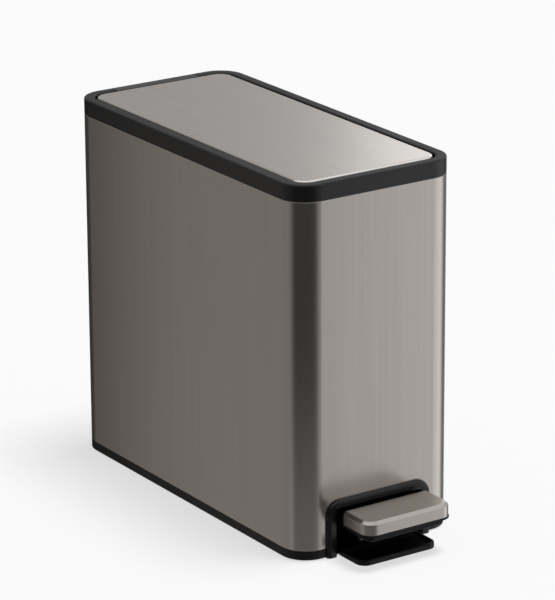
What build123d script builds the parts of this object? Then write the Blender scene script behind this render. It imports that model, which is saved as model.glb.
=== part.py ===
"""Slim rectangular step bin: a steel sleeve between a moulded collar and base, a hinged
lid, and the pedal, lever, push rod and air damper that raise it, round a lift-out bucket.

Millimetres. X runs across the bin, Y from the pedal to the hinge, and Z up.
The origin is on the floor, at the centre of the whole footprint with its pedal.
"""
import os
from math import atan, cos, degrees, radians, sin, sqrt, tan

from build123d import *

# ---- Driving dimensions -------------------------------------------------------

# Body
body_width = 165.0
body_length = 356.0
body_height = 335.0
corner_radius = 24.5
base_band = 9.5  # the base shows this far below the sleeve
collar_band = 15.0  # the collar shows this far above it
foot_stand = 1.0  # the base stands this far off the floor, on its feet
sheet = 0.8  # steel sheet
sheet_edge = 0.35  # rounding of the sleeve's rims
band_edge = 0.6  # rounding of the collar and the base where they meet the sleeve
wall = 2.0  # moulded plastic wall

# Clearances
fit_gap = 0.2  # between fixed parts that nest
bore_gap = 0.05  # radial, round a pin or screw that is driven in
bearing_gap = 0.07  # radial, round a pin that something turns on
run_gap = 0.35  # between parts that move past each other

# Collar
rim_width = 9.5
rim_outer_edge = 1.5
rim_inner_edge = 1.2
collar_skirt = 20.0
side_ledge = 7.0  # the bucket hangs on this ledge
front_ledge = 12.0
rear_deck = 33.5  # covers the push rod behind the bucket
deck_boss_radius = 4.0
deck_boss_height = 2.6

# Lid
lid_gap = 2.5
lid_skin_depth = 8.0
lid_lip_depth = 4.0
lid_edge = 2.0
lid_plate = 2.4
lid_dish = 1.0
lid_dish_border = 14.0
lid_rib = 1.6
lid_rib_pitch = 52.0
lid_angle = 77.0  # degrees, fully open

# Hinge
hinge_inset = 5.2  # axis in front of the back face
hinge_drop = 5.5  # axis below the rim's top
hinge_shoulder = 14.4  # straight rim on each side of the hinge tab
tab_slit = 1.2
tab_edge = 1.5
knuckle_radius = 5.0
knuckle_room = 7.3
hinge_pin_radius = 1.5
hinge_pin_length = 26.0

# Crank arms under the lid, and the cross pin that lifts them
crank_reach = 18.0  # push rod in front of the hinge axis
arm_thickness = 3.0
arm_space = 10.0  # between the two arms
arm_rim = 3.0
arm_root = 6.0  # the arm's root starts this far in front of the push rod
arm_slack = 1.2  # room across the slot for the linkage's small error
cross_pin_radius = 2.0
cross_pin_overhang = 2.6
deck_slot_side = 4.5
clip_thickness = 0.8
clip_wall = 2.2
clip_mouth = 2.4

# Doorway for the pedal
arch_shoulder = 4.25
arch_band = 9.5
arch_top_band = 8.5
arch_height = 52.0
arch_radius = 14.0
arch_rise = 4.0
arch_outer_bead = 3.4
arch_inner_bead = 2.0
tunnel_wall = 1.8
tunnel_depth = 12.0
hook_rise = 1.0
hook_depth = 3.0
hook_height = 10.0
hook_z = 22.0

# Pedal
pedal_reach = 48.9  # its cap stands out of the front face this far
pedal_depth = 39.4
pedal_overlap = 0.5  # the cap is wider than the doorway by this much, each side
pedal_corner = 11.0
pedal_rear_corner = 3.8
pedal_drop = 17.5  # travel of the core's front edge
cap_below_arch = 6.5
cap_height = 12.2
cap_bevel = 2.8  # flat bevel round the cap's top
cap_edge = 0.8  # rounding of the bevel's two edges
core_lip = 1.5
lip_overhang = 0.6  # the core's lip stands out under the cap
core_inset = 5.4
core_drop = 6.5
core_edge = 2.0
core_screw_ahead = 20.0
core_screw_x = 6.0
core_screw_length = 16.5
neck_side = 8.0
neck_top_gap = 3.0
neck_inside = 14.0  # the neck ends this far inside the front face

# Foot plate under the pedal
plate_side = 4.25
plate_reach = 34.0
plate_corner = 9.0
plate_stand = 0.5
plate_height = 5.5
plate_floor = 2.5
plate_rim = 2.5
plate_back_wall = 3.0
plate_edge = 1.2
plate_tab_width = 40.0
plate_tab_length = 16.0
plate_tab_thickness = 2.0
plate_screw_x = 12.0
plate_screw_inside = 9.0

# Lever and its pivot
pivot_height = 26.0
lever_width = 24.0
lever_height = 8.0
lever_sheet = 1.6
lever_boss = 7.5
lever_ahead = 36.0  # the lever ends this far ahead of the front face
lever_behind = 8.0  # and this far behind the push rod
axle_radius = 2.0
axle_overhang = 3.0
bush_wall = 1.5
bush_flange = 1.3
bush_flange_wall = 2.0

# Base
base_floor = 2.5
base_skirt = 22.0
base_edge = 1.2
bay_gap = 2.3  # between the lever and its bay
bay_wall = 3.5
bay_start = 20.0  # the bay starts this far inside the front face
upright_wall = 5.0
upright_foot = 36.0
rib = 2.0
rib_height = 10.0
rib_pitch = 48.0
foot_radius = 9.0
foot_edge = 0.6
foot_inset = 24.0
foot_pocket = 1.0
rest_pad_width = 26.0
rest_pad_length = 14.0
post_height = 30.0
post_wall = 3.5

# Push rod and its shoe
rod_radius = 2.0
rod_eye_radius = 4.0
rod_eye_width = 5.0
shoe_radius = 6.0
shoe_width = 16.0
shoe_height = 16.0
shoe_floor = 3.0

# Channel that guides the push rod, and the damper on the rod
channel_width = 30.0
channel_wall = 1.6
channel_front = 9.0  # channel's front face, in front of the rod
channel_back = 9.5
channel_foot_window = 22.0  # open in front for the lever
channel_head_window = 12.0  # open in front for the crank arms
guide_drop = 32.0  # upper guide web below the collar's deck
web_thickness = 2.0
ear_width = 13.0
ear_length = 12.0
ear_thickness = 2.0
damper_rise = 66.0  # damper above the channel's foot
damper_length = 58.0
damper_radius = 7.0
damper_wall = 1.0
damper_cap_flange = 2.0
damper_cap_plug = 4.0
piston_thickness = 6.0
piston_rest = 2.0

# Bucket
bucket_clearance = 1.0
bucket_flange = 4.5
bucket_flange_thickness = 1.8
bucket_wall = 1.5
bucket_taper = 1.2  # degrees
bucket_corner = 16.0
bucket_foot_edge = 6.0
bucket_bottom = 50.0
bucket_lift = 1.5  # free lift under the closed lid
grip_width = 74.0
grip_height = 18.0
grip_drop = 22.0

# Screws and pads
screw_radius = 1.5
screw_head_radius = 3.0
screw_head = 2.0
screw_head_edge = 0.8
upper_screw_bite = 3.8
lower_screw_bite = 10.0
plate_screw_bite = 2.3
pad_radius = 3.0
pad_edge = 1.0
pad_x = 50.0
front_pad_inset = 4.0
rear_pad_inset = 11.0

# ---- Places worked out from them ----------------------------------------------

mid_y = (pedal_reach + lip_overhang) / 2
front_y = mid_y - body_length / 2
back_y = mid_y + body_length / 2

shell_seat = sheet + fit_gap  # what stands inside the sleeve starts this far in
shell_top = body_height - collar_band
floor_top = foot_stand + base_floor
skirt_top = base_band + base_skirt

lid_inset = rim_width + lid_gap
lid_back_y = back_y - lid_inset
lid_skin_bottom = body_height - lid_skin_depth
lid_bottom = lid_skin_bottom - lid_lip_depth
flange_top = lid_bottom - bucket_lift - 2 * run_gap
flange_bottom = flange_top - bucket_flange_thickness
ledge_top = flange_bottom - run_gap
ledge_bottom = ledge_top - wall

mouth_half = body_width / 2 - rim_width - side_ledge
mouth_front = front_y + rim_width + front_ledge
mouth_back = back_y - rim_width - rear_deck
mouth_y = (mouth_front + mouth_back) / 2
mouth_length = mouth_back - mouth_front

hinge_y = back_y - hinge_inset
hinge_z = body_height - hinge_drop
block_half = body_width / 2 - corner_radius
tab_half = block_half - hinge_shoulder
notch_half = tab_half + tab_slit
notch_floor = hinge_z - knuckle_room

# The cross pin stands as far below the hinge axis, lid closed, as above it, lid open.
rod_y = hinge_y - crank_reach
crank_tilt = lid_angle / 2
rod_travel = 2 * crank_reach * tan(radians(crank_tilt))
pin_z = hinge_z - rod_travel / 2
slot_near = crank_reach - cross_pin_radius - run_gap
slot_far = crank_reach / cos(radians(crank_tilt)) + cross_pin_radius + run_gap
slot_width = 2 * (cross_pin_radius + arm_slack)
arm_half = arm_space / 2 + arm_thickness
deck_slot_half = arm_half + deck_slot_side
deck_slot_front = hinge_y - slot_far - arm_rim - run_gap
deck_slot_back = back_y - rim_width

arch_half = block_half - arch_shoulder
door_half = arch_half - arch_band
door_top = arch_height - arch_top_band
door_radius = arch_radius - arch_band
tunnel_half = door_half + tunnel_wall
tunnel_top = door_top + tunnel_wall
tunnel_radius = door_radius + tunnel_wall

cap_top = arch_height - cap_below_arch
cap_bottom = cap_top - cap_height
bevel_share = 2 - sqrt(2)  # a bevel shrinks by this share of the depth that it is drawn inside
lip_bottom = cap_bottom - core_lip
core_bottom = lip_bottom - core_drop
core_front_y = front_y - pedal_reach + core_inset
pedal_half = door_half + pedal_overlap
neck_half = door_half - neck_side
neck_top = door_top - neck_top_gap
plate_half = door_half - plate_side

# The pivot divides the lever so that the pedal's drop gives the rod's travel.
lever_span = rod_y - core_front_y
pivot_y = core_front_y + lever_span * pedal_drop / (pedal_drop + rod_travel)
rear_arm = rod_y - pivot_y
pedal_angle = 2 * degrees(atan(rod_travel / 2 / rear_arm))
lever_tilt = pedal_angle / 2
tilt_cos = cos(radians(lever_tilt))
tilt_sin = sin(radians(lever_tilt))
tilt_tan = tan(radians(lever_tilt))
lever_start = (front_y - lever_ahead - pivot_y) / tilt_cos
lever_end = (rear_arm + lever_behind) / tilt_cos
bush_radius = axle_radius + bearing_gap + bush_wall
bay_half = lever_width / 2 + bay_gap
bay_outer = bay_half + bay_wall

shoe_z = pivot_height - rear_arm * tilt_tan + (lever_height / 2 + shoe_radius + run_gap) / tilt_cos
rest_pad_drop = (rear_arm + rest_pad_length / 2) * tilt_tan + lever_height / 2 / tilt_cos
rest_pad_top = pivot_height - rest_pad_drop - run_gap

ear_x = (channel_width + ear_width) / 2
channel_bottom = floor_top + post_height
damper_z = channel_bottom + damper_rise
guide_z = ledge_bottom - guide_drop
post_radius = screw_radius + post_wall
bucket_y = mouth_y - mid_y

# ---- Planes and shared outlines -----------------------------------------------

front_face = Plane(origin=(0, front_y, 0), x_dir=(1, 0, 0), z_dir=(0, -1, 0))
lever_plane = Plane((0, pivot_y, pivot_height), x_dir=(0, tilt_cos, -tilt_sin), z_dir=(1, 0, 0))


def level(z):
    """The horizontal plane at height z, centred on the body."""
    return Plane((0, mid_y, z))


def rod_level(z):
    """The horizontal plane at height z, centred on the push rod."""
    return Plane((0, rod_y, z))


def ahead(z):
    """The horizontal plane at height z, whose y runs forward from the front face."""
    return Plane(origin=(0, front_y, z), x_dir=(-1, 0, 0), z_dir=(0, 0, 1))


def body_outline(inset=0.0, mode=Mode.ADD):
    """The body's rounded rectangle, drawn this far inside its outer face."""
    radius = max(corner_radius - inset, 1.0)
    RectangleRounded(body_width - 2 * inset, body_length - 2 * inset, radius, mode=mode)


def doorway(half_width, top, radius, bottom=0.0):
    """Straight legs from the bottom up to a top with rounded corners."""
    corners = [(-half_width, bottom), (-half_width, top), (half_width, top), (half_width, bottom)]
    with BuildSketch() as outline:
        with BuildLine():
            FilletPolyline(*corners, radius=radius)
            Line(corners[-1], corners[0])
        make_face()
    return outline.sketch


def pedal_outline(inset=0.0):
    """The pedal from above, drawn this far inside the outer face of its steel cap."""
    half = pedal_half - inset
    rear = pedal_reach - pedal_depth + inset
    front = pedal_reach - inset
    front_radius = pedal_corner - inset
    rear_radius = max(pedal_rear_corner - inset, sheet)
    corners = [(-half, rear), (-half, front), (half, front), (half, rear)]
    radii = [rear_radius, front_radius, front_radius, rear_radius]
    with BuildSketch() as outline:
        with BuildLine():
            FilletPolyline(*corners, radius=radii, close=True)
        make_face()
    return outline.sketch


def crank_point(distance):
    """The point this far from the hinge axis down the closed lid's arm, as (y, z)."""
    angle = radians(crank_tilt)
    return (hinge_y - distance * cos(angle), hinge_z - distance * sin(angle))


# ---- Fixed body ---------------------------------------------------------------

with BuildPart() as body_shell:
    with BuildSketch(level(base_band)):
        body_outline()
        body_outline(sheet, Mode.SUBTRACT)
    extrude(amount=shell_top - base_band)
    fillet(body_shell.faces().sort_by(Axis.Z)[-1].outer_wire().edges(), sheet_edge)
    fillet(body_shell.faces().sort_by(Axis.Z)[0].outer_wire().edges(), sheet_edge)
    with BuildSketch(front_face):
        add(doorway(tunnel_half + fit_gap, tunnel_top + fit_gap, tunnel_radius + fit_gap))
    extrude(amount=-2 * sheet, mode=Mode.SUBTRACT)

with BuildPart() as collar:
    with BuildSketch(level(shell_top)):
        body_outline()
        body_outline(rim_width, Mode.SUBTRACT)
    extrude(amount=collar_band)
    fillet(collar.faces().sort_by(Axis.Z)[-1].outer_wire().edges(), rim_outer_edge)
    fillet(collar.faces().sort_by(Axis.Z)[-1].inner_wires()[0].edges(), rim_inner_edge)
    fillet(collar.faces().sort_by(Axis.Z)[0].outer_wire().edges(), band_edge)
    # Skirt inside the sleeve
    with BuildSketch(level(shell_top - collar_skirt)):
        body_outline(shell_seat)
        body_outline(shell_seat + wall, Mode.SUBTRACT)
    extrude(amount=collar_skirt)
    # Inner wall, and the ledge and deck round the bucket's mouth
    with BuildSketch(level(ledge_bottom)):
        body_outline(rim_width - wall)
        body_outline(rim_width, Mode.SUBTRACT)
    extrude(amount=shell_top - ledge_bottom)
    with BuildSketch(level(ledge_bottom)):
        body_outline(rim_width - wall)
        with Locations((0, bucket_y)):
            mouth_corner = bucket_corner + bucket_clearance
            RectangleRounded(2 * mouth_half, mouth_length, mouth_corner, mode=Mode.SUBTRACT)
    extrude(amount=wall)
    # Hollow of the rim, open below, and left solid where the hinge pins sit
    with BuildSketch(level(ledge_bottom)):
        body_outline(shell_seat + wall)
        body_outline(rim_width - wall, Mode.SUBTRACT)
        with Locations((0, body_length / 2)):
            Rectangle(2 * block_half, 2 * rim_width, mode=Mode.SUBTRACT)
    extrude(amount=body_height - wall - ledge_bottom, mode=Mode.SUBTRACT)
    with BuildSketch(level(ledge_bottom)):
        with Locations((0, (body_length - rim_width - shell_seat) / 2)):
            Rectangle(2 * block_half, rim_width - shell_seat)
    extrude(amount=shell_top - ledge_bottom)
    # Notch for the lid's hinge tab, and bores for its pins
    with BuildSketch(level(notch_floor)):
        with Locations((0, body_length / 2)):
            Rectangle(2 * notch_half, 2 * rim_width + lid_gap)
    extrude(amount=body_height - notch_floor, mode=Mode.SUBTRACT)
    with BuildSketch(Plane.YZ):
        with Locations((hinge_y, hinge_z)):
            Circle(hinge_pin_radius + bore_gap)
    extrude(amount=block_half, both=True, mode=Mode.SUBTRACT)
    # Slot in the deck for the crank arms, and bosses for the channel's screws
    with BuildSketch(rod_level(ledge_bottom)):
        with Locations((0, (deck_slot_back + deck_slot_front) / 2 - rod_y)):
            Rectangle(2 * deck_slot_half, deck_slot_back - deck_slot_front)
    extrude(amount=wall, mode=Mode.SUBTRACT)
    with BuildSketch(rod_level(ledge_top)):
        with Locations((ear_x, 0), (-ear_x, 0)):
            Circle(deck_boss_radius)
    extrude(amount=deck_boss_height)
    with BuildSketch(rod_level(ledge_bottom)):
        with Locations((ear_x, 0), (-ear_x, 0)):
            Circle(screw_radius + bore_gap)
    extrude(amount=upper_screw_bite + bore_gap, mode=Mode.SUBTRACT)

with BuildPart() as hinge_pins:
    for side in (1, -1):
        pin_start = side * (tab_half + tab_slit / 2) - hinge_pin_length / 2
        with BuildSketch(Plane.YZ.offset(pin_start)):
            with Locations((hinge_y, hinge_z)):
                Circle(hinge_pin_radius)
        extrude(amount=hinge_pin_length)

with BuildPart() as lid_rest_pads:
    front_pad = rim_width + front_pad_inset - body_length / 2
    rear_pad = body_length / 2 - rim_width - rear_pad_inset
    with BuildSketch(level(ledge_top)):
        with Locations((pad_x, front_pad), (-pad_x, front_pad), (pad_x, rear_pad), (-pad_x, rear_pad)):
            Circle(pad_radius)
    extrude(amount=lid_bottom - run_gap - ledge_top)
    chamfer(lid_rest_pads.edges().group_by(Axis.Z)[-1], pad_edge)

with BuildPart() as base_tray:
    with BuildSketch(level(foot_stand)):
        body_outline()
    extrude(amount=base_band - foot_stand)
    fillet(base_tray.edges().group_by(Axis.Z)[0], base_edge)
    fillet(base_tray.edges().group_by(Axis.Z)[-1], band_edge)
    with BuildSketch(level(base_band)):
        body_outline(shell_seat)
    extrude(amount=base_skirt)
    with BuildSketch(level(floor_top)):
        body_outline(shell_seat + wall)
    extrude(amount=skirt_top - floor_top, mode=Mode.SUBTRACT)
    # The skirt stands in straight tongues, open at the corners, so that it springs into the sleeve
    with BuildSketch(level(base_band)):
        with GridLocations(body_width - corner_radius, body_length - corner_radius, 2, 2):
            Rectangle(corner_radius, corner_radius)
    extrude(amount=base_skirt, mode=Mode.SUBTRACT)
    # Doorway for the pedal, down to the floor
    with BuildSketch(front_face):
        add(doorway(tunnel_half + fit_gap, tunnel_top + fit_gap, tunnel_radius + fit_gap, floor_top))
    extrude(amount=-(shell_seat + 2 * wall), mode=Mode.SUBTRACT)
    # Bay for the lever, whose walls rise round the axle
    bay_front = front_y + bay_start
    bay_back = rod_y + rest_pad_length
    with BuildSketch(Plane.YZ.offset(bay_half), Plane.YZ.offset(-bay_outer)):
        with Locations((pivot_y, pivot_height)):
            Circle(axle_radius + upright_wall)
        with Locations((pivot_y, floor_top)):
            Rectangle(upright_foot, rib)
        make_hull()
    extrude(amount=bay_wall)
    with BuildSketch(Plane.YZ.offset(bay_half), Plane.YZ.offset(-bay_outer)):
        with Locations(((bay_front + bay_back) / 2, floor_top + rib_height / 2)):
            Rectangle(bay_back - bay_front, rib_height)
    extrude(amount=bay_wall)
    with BuildSketch(Plane.YZ):
        with Locations((pivot_y, pivot_height)):
            Circle(axle_radius + bore_gap)
    extrude(amount=bay_outer, both=True, mode=Mode.SUBTRACT)
    # Cross ribs between the bay and the skirt
    rib_length = body_width / 2 - shell_seat - wall / 2 - bay_outer
    rib_count = int((bay_back - bay_front) / rib_pitch)
    with BuildSketch(level(floor_top)):
        for side in (1, -1):
            with Locations((side * (bay_outer + rib_length / 2), (bay_front + bay_back) / 2 - mid_y)):
                with GridLocations(1, rib_pitch, 1, rib_count):
                    Rectangle(rib_length, rib)
    extrude(amount=rib_height)
    # Posts under the channel
    with BuildSketch(rod_level(floor_top)):
        with Locations((ear_x, 0), (-ear_x, 0)):
            Circle(post_radius)
    extrude(amount=post_height)
    with BuildSketch(rod_level(channel_bottom)):
        with Locations((ear_x, 0), (-ear_x, 0)):
            Circle(screw_radius + bore_gap)
    extrude(amount=-(lower_screw_bite + bore_gap), mode=Mode.SUBTRACT)
    # Pockets for the feet, and screw holes for the foot plate
    with BuildSketch(level(foot_stand)):
        with GridLocations(body_width - 2 * foot_inset, body_length - 2 * foot_inset, 2, 2):
            Circle(foot_radius + fit_gap)
    extrude(amount=foot_pocket, mode=Mode.SUBTRACT)
    with BuildSketch(ahead(foot_stand)):
        with Locations((plate_screw_x, -plate_screw_inside), (-plate_screw_x, -plate_screw_inside)):
            Circle(screw_radius + bore_gap)
    extrude(amount=base_floor, mode=Mode.SUBTRACT)

with BuildPart() as rubber_feet:
    with BuildSketch(level(0)):
        with GridLocations(body_width - 2 * foot_inset, body_length - 2 * foot_inset, 2, 2):
            Circle(foot_radius)
    extrude(amount=foot_stand + foot_pocket)
    chamfer(rubber_feet.edges().group_by(Axis.Z)[0], foot_edge)

with BuildPart() as pedal_bezel:
    with BuildSketch(front_face):
        add(doorway(arch_half, arch_height, arch_radius, foot_stand))
    extrude(amount=arch_rise)
    outer_bead = pedal_bezel.faces().sort_by(Axis.Y)[0].edges()
    fillet(outer_bead.filter_by(lambda edge: edge.center().Z > 2 * foot_stand), arch_outer_bead)
    with BuildSketch(front_face):
        add(doorway(door_half, door_top, door_radius, foot_stand))
    extrude(amount=arch_rise, mode=Mode.SUBTRACT)
    inner_bead = pedal_bezel.faces().sort_by(Axis.Y)[0].edges()
    inner_bead = inner_bead.filter_by(lambda edge: abs(edge.center().X) < door_half + wall / 4)
    inner_bead = inner_bead.filter_by(lambda edge: 2 * foot_stand < edge.center().Z < door_top + wall / 4)
    fillet(inner_bead, arch_inner_bead)
    # Tunnel through the sleeve and the base's skirt, with a snap hook on each side
    with BuildSketch(front_face):
        add(doorway(tunnel_half, tunnel_top, tunnel_radius, floor_top))
        add(doorway(door_half, door_top, door_radius, floor_top), mode=Mode.SUBTRACT)
    extrude(amount=-tunnel_depth)
    hook_back = -(shell_seat + wall + fit_gap)
    with BuildSketch(ahead(hook_z - hook_height / 2)):
        for side in (1, -1):
            root = side * (tunnel_half - fit_gap)
            with BuildLine():
                Polyline(
                    (root, hook_back),
                    (root + side * (hook_rise + fit_gap), hook_back),
                    (root, hook_back - hook_depth),
                    close=True,
                )
            make_face()
    extrude(amount=hook_height)

with BuildPart() as foot_plate:
    with BuildSketch(ahead(plate_stand)):
        add(doorway(plate_half, plate_reach, plate_corner))
    extrude(amount=plate_height - plate_stand)
    top_edges = foot_plate.edges().group_by(Axis.Z)[-1]
    fillet(top_edges.filter_by(lambda edge: edge.center().Y < front_y - foot_stand), plate_edge)
    with BuildSketch(ahead(plate_stand + plate_floor)):
        tray_front = plate_reach - plate_rim
        add(doorway(plate_half - plate_rim, tray_front, plate_corner - plate_rim, plate_back_wall))
    extrude(amount=plate_height, mode=Mode.SUBTRACT)
    # Tab screwed to the base's floor
    with BuildSketch(ahead(floor_top)):
        with Locations((0, (plate_back_wall - plate_tab_length) / 2)):
            Rectangle(plate_tab_width, plate_back_wall + plate_tab_length)
    extrude(amount=plate_tab_thickness)
    with BuildSketch(ahead(floor_top)):
        with Locations((plate_screw_x, -plate_screw_inside), (-plate_screw_x, -plate_screw_inside)):
            Circle(screw_radius + bore_gap)
    extrude(amount=plate_tab_thickness, mode=Mode.SUBTRACT)

with BuildPart() as foot_plate_screws:
    screw_seat = floor_top + plate_tab_thickness
    with BuildSketch(ahead(screw_seat)):
        with Locations((plate_screw_x, -plate_screw_inside), (-plate_screw_x, -plate_screw_inside)):
            Circle(screw_head_radius)
    extrude(amount=screw_head)
    chamfer(foot_plate_screws.edges().group_by(Axis.Z)[-1], screw_head_edge)
    with BuildSketch(ahead(screw_seat)):
        with Locations((plate_screw_x, -plate_screw_inside), (-plate_screw_x, -plate_screw_inside)):
            Circle(screw_radius)
    extrude(amount=-(plate_tab_thickness + plate_screw_bite))

with BuildPart() as lever_rest_pad:
    with BuildSketch(rod_level(floor_top)):
        RectangleRounded(rest_pad_width, rest_pad_length, pad_radius)
    extrude(amount=rest_pad_top - floor_top)

with BuildPart() as pedal_axle:
    with BuildSketch(Plane.YZ):
        with Locations((pivot_y, pivot_height)):
            Circle(axle_radius)
    extrude(amount=bay_outer + axle_overhang, both=True)

with BuildPart() as axle_clips:
    clip_start = bay_outer + fit_gap
    with BuildSketch(Plane.YZ.offset(clip_start), Plane.YZ.offset(-clip_start - clip_thickness)):
        with Locations((pivot_y, pivot_height)):
            Circle(axle_radius + clip_wall)
            Circle(axle_radius + bore_gap, mode=Mode.SUBTRACT)
        with Locations((pivot_y, pivot_height + axle_radius + clip_wall)):
            Rectangle(clip_mouth, 2 * clip_wall, mode=Mode.SUBTRACT)
    extrude(amount=clip_thickness)

# ---- Channel and damper behind the bucket -------------------------------------

with BuildPart() as rod_channel:
    channel_depth = channel_front + channel_back
    channel_centre = (channel_back - channel_front) / 2
    with BuildSketch(rod_level(channel_bottom)):
        with Locations((0, channel_centre)):
            Rectangle(channel_width, channel_depth)
        with Locations((0, channel_centre + channel_wall)):
            Rectangle(channel_width - 2 * channel_wall, channel_depth, mode=Mode.SUBTRACT)
    extrude(amount=ledge_bottom - channel_bottom)
    # Windows in front, for the lever below and the crank arms above
    with BuildSketch(Plane.XZ.offset(-rod_y)):
        with Locations((0, channel_bottom + channel_foot_window / 2)):
            Rectangle(channel_width - 2 * channel_wall, channel_foot_window)
        with Locations((0, ledge_bottom - channel_head_window / 2)):
            Rectangle(channel_width - 2 * channel_wall, channel_head_window)
    extrude(amount=channel_front, mode=Mode.SUBTRACT)
    # Webs that guide the rod, and hold the damper between them
    for web_z in (damper_z - web_thickness, damper_z + damper_length, guide_z):
        with BuildSketch(rod_level(web_z)):
            with Locations((0, channel_centre)):
                Rectangle(channel_width - channel_wall, channel_depth - channel_wall)
            Circle(rod_radius + run_gap, mode=Mode.SUBTRACT)
        extrude(amount=web_thickness)
    # Screw ears
    for ear_z in (channel_bottom, ledge_bottom - ear_thickness):
        with BuildSketch(rod_level(ear_z)):
            with Locations((ear_x - channel_wall / 2, 0), (channel_wall / 2 - ear_x, 0)):
                Rectangle(ear_width + channel_wall, ear_length)
            with Locations((ear_x, 0), (-ear_x, 0)):
                Circle(screw_radius + bore_gap, mode=Mode.SUBTRACT)
        extrude(amount=ear_thickness)

with BuildPart() as channel_screws:
    lower_seat = channel_bottom + ear_thickness
    upper_seat = ledge_bottom - ear_thickness
    for seat, way, bite in ((lower_seat, -1, lower_screw_bite), (upper_seat, 1, upper_screw_bite)):
        with BuildSketch(rod_level(seat)):
            with Locations((ear_x, 0), (-ear_x, 0)):
                Circle(screw_head_radius)
        extrude(amount=-way * screw_head)
        head_z = seat - way * screw_head
        head_edges = channel_screws.edges().filter_by_position(Axis.Z, head_z - fit_gap, head_z + fit_gap)
        chamfer(head_edges, screw_head_edge)
        with BuildSketch(rod_level(seat)):
            with Locations((ear_x, 0), (-ear_x, 0)):
                Circle(screw_radius)
        extrude(amount=way * (ear_thickness + bite))

with BuildPart() as damper_tube:
    with BuildSketch(rod_level(damper_z + damper_cap_flange)):
        Circle(damper_radius)
        Circle(damper_radius - damper_wall, mode=Mode.SUBTRACT)
    extrude(amount=damper_length - 2 * damper_cap_flange)

with BuildPart() as damper_caps:
    for cap_z, way in ((damper_z, 1), (damper_z + damper_length, -1)):
        with BuildSketch(rod_level(cap_z)):
            Circle(damper_radius)
        extrude(amount=way * damper_cap_flange)
        with BuildSketch(rod_level(cap_z)):
            Circle(damper_radius - damper_wall - bore_gap)
        extrude(amount=way * (damper_cap_flange + damper_cap_plug))
        with BuildSketch(rod_level(cap_z)):
            Circle(rod_radius + run_gap)
        extrude(amount=way * (damper_cap_flange + damper_cap_plug), mode=Mode.SUBTRACT)

# ---- Push rod -----------------------------------------------------------------

with BuildPart() as push_rod:
    with BuildSketch(rod_level(shoe_z + shoe_floor)):
        Circle(rod_radius)
    extrude(amount=pin_z - shoe_z - shoe_floor)
    with BuildSketch(Plane.YZ):
        with Locations((rod_y, pin_z)):
            Circle(rod_eye_radius)
    extrude(amount=rod_eye_width / 2, both=True)
    with BuildSketch(Plane.YZ):
        with Locations((rod_y, pin_z)):
            Circle(cross_pin_radius + bore_gap)
    extrude(amount=rod_eye_width, both=True, mode=Mode.SUBTRACT)

with BuildPart() as rod_shoe:
    with BuildSketch(Plane.YZ):
        with Locations((rod_y, shoe_z)):
            Circle(shoe_radius)
        with Locations((rod_y, shoe_z + shoe_height / 2)):
            Rectangle(2 * shoe_radius, shoe_height)
    extrude(amount=shoe_width / 2, both=True)
    fillet(rod_shoe.edges().filter_by(Axis.Z), pad_edge)
    with BuildSketch(rod_level(shoe_z + shoe_floor)):
        Circle(rod_radius + bore_gap)
    extrude(amount=shoe_height, mode=Mode.SUBTRACT)

with BuildPart() as cross_pin:
    with BuildSketch(Plane.YZ):
        with Locations((rod_y, pin_z)):
            Circle(cross_pin_radius)
    extrude(amount=arm_half + cross_pin_overhang, both=True)

with BuildPart() as cross_pin_clips:
    clip_start = arm_half + run_gap
    with BuildSketch(Plane.YZ.offset(clip_start), Plane.YZ.offset(-clip_start - clip_thickness)):
        with Locations((rod_y, pin_z)):
            Circle(cross_pin_radius + clip_wall)
            Circle(cross_pin_radius + bore_gap, mode=Mode.SUBTRACT)
        with Locations((rod_y, pin_z - cross_pin_radius - clip_wall)):
            Rectangle(clip_mouth, 2 * clip_wall, mode=Mode.SUBTRACT)
    extrude(amount=clip_thickness)

with BuildPart() as damper_piston:
    with BuildSketch(rod_level(damper_z + damper_cap_flange + damper_cap_plug + piston_rest)):
        Circle(damper_radius - damper_wall - run_gap)
        Circle(rod_radius + bore_gap, mode=Mode.SUBTRACT)
    extrude(amount=piston_thickness)

# ---- Lid ----------------------------------------------------------------------

with BuildPart() as lid_panel:
    with BuildSketch(level(lid_skin_bottom)):
        body_outline(lid_inset)
    extrude(amount=lid_skin_depth)
    fillet(lid_panel.edges().group_by(Axis.Z)[-1], lid_edge)
    offset(amount=-sheet, openings=lid_panel.faces().sort_by(Axis.Z)[0])

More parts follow.
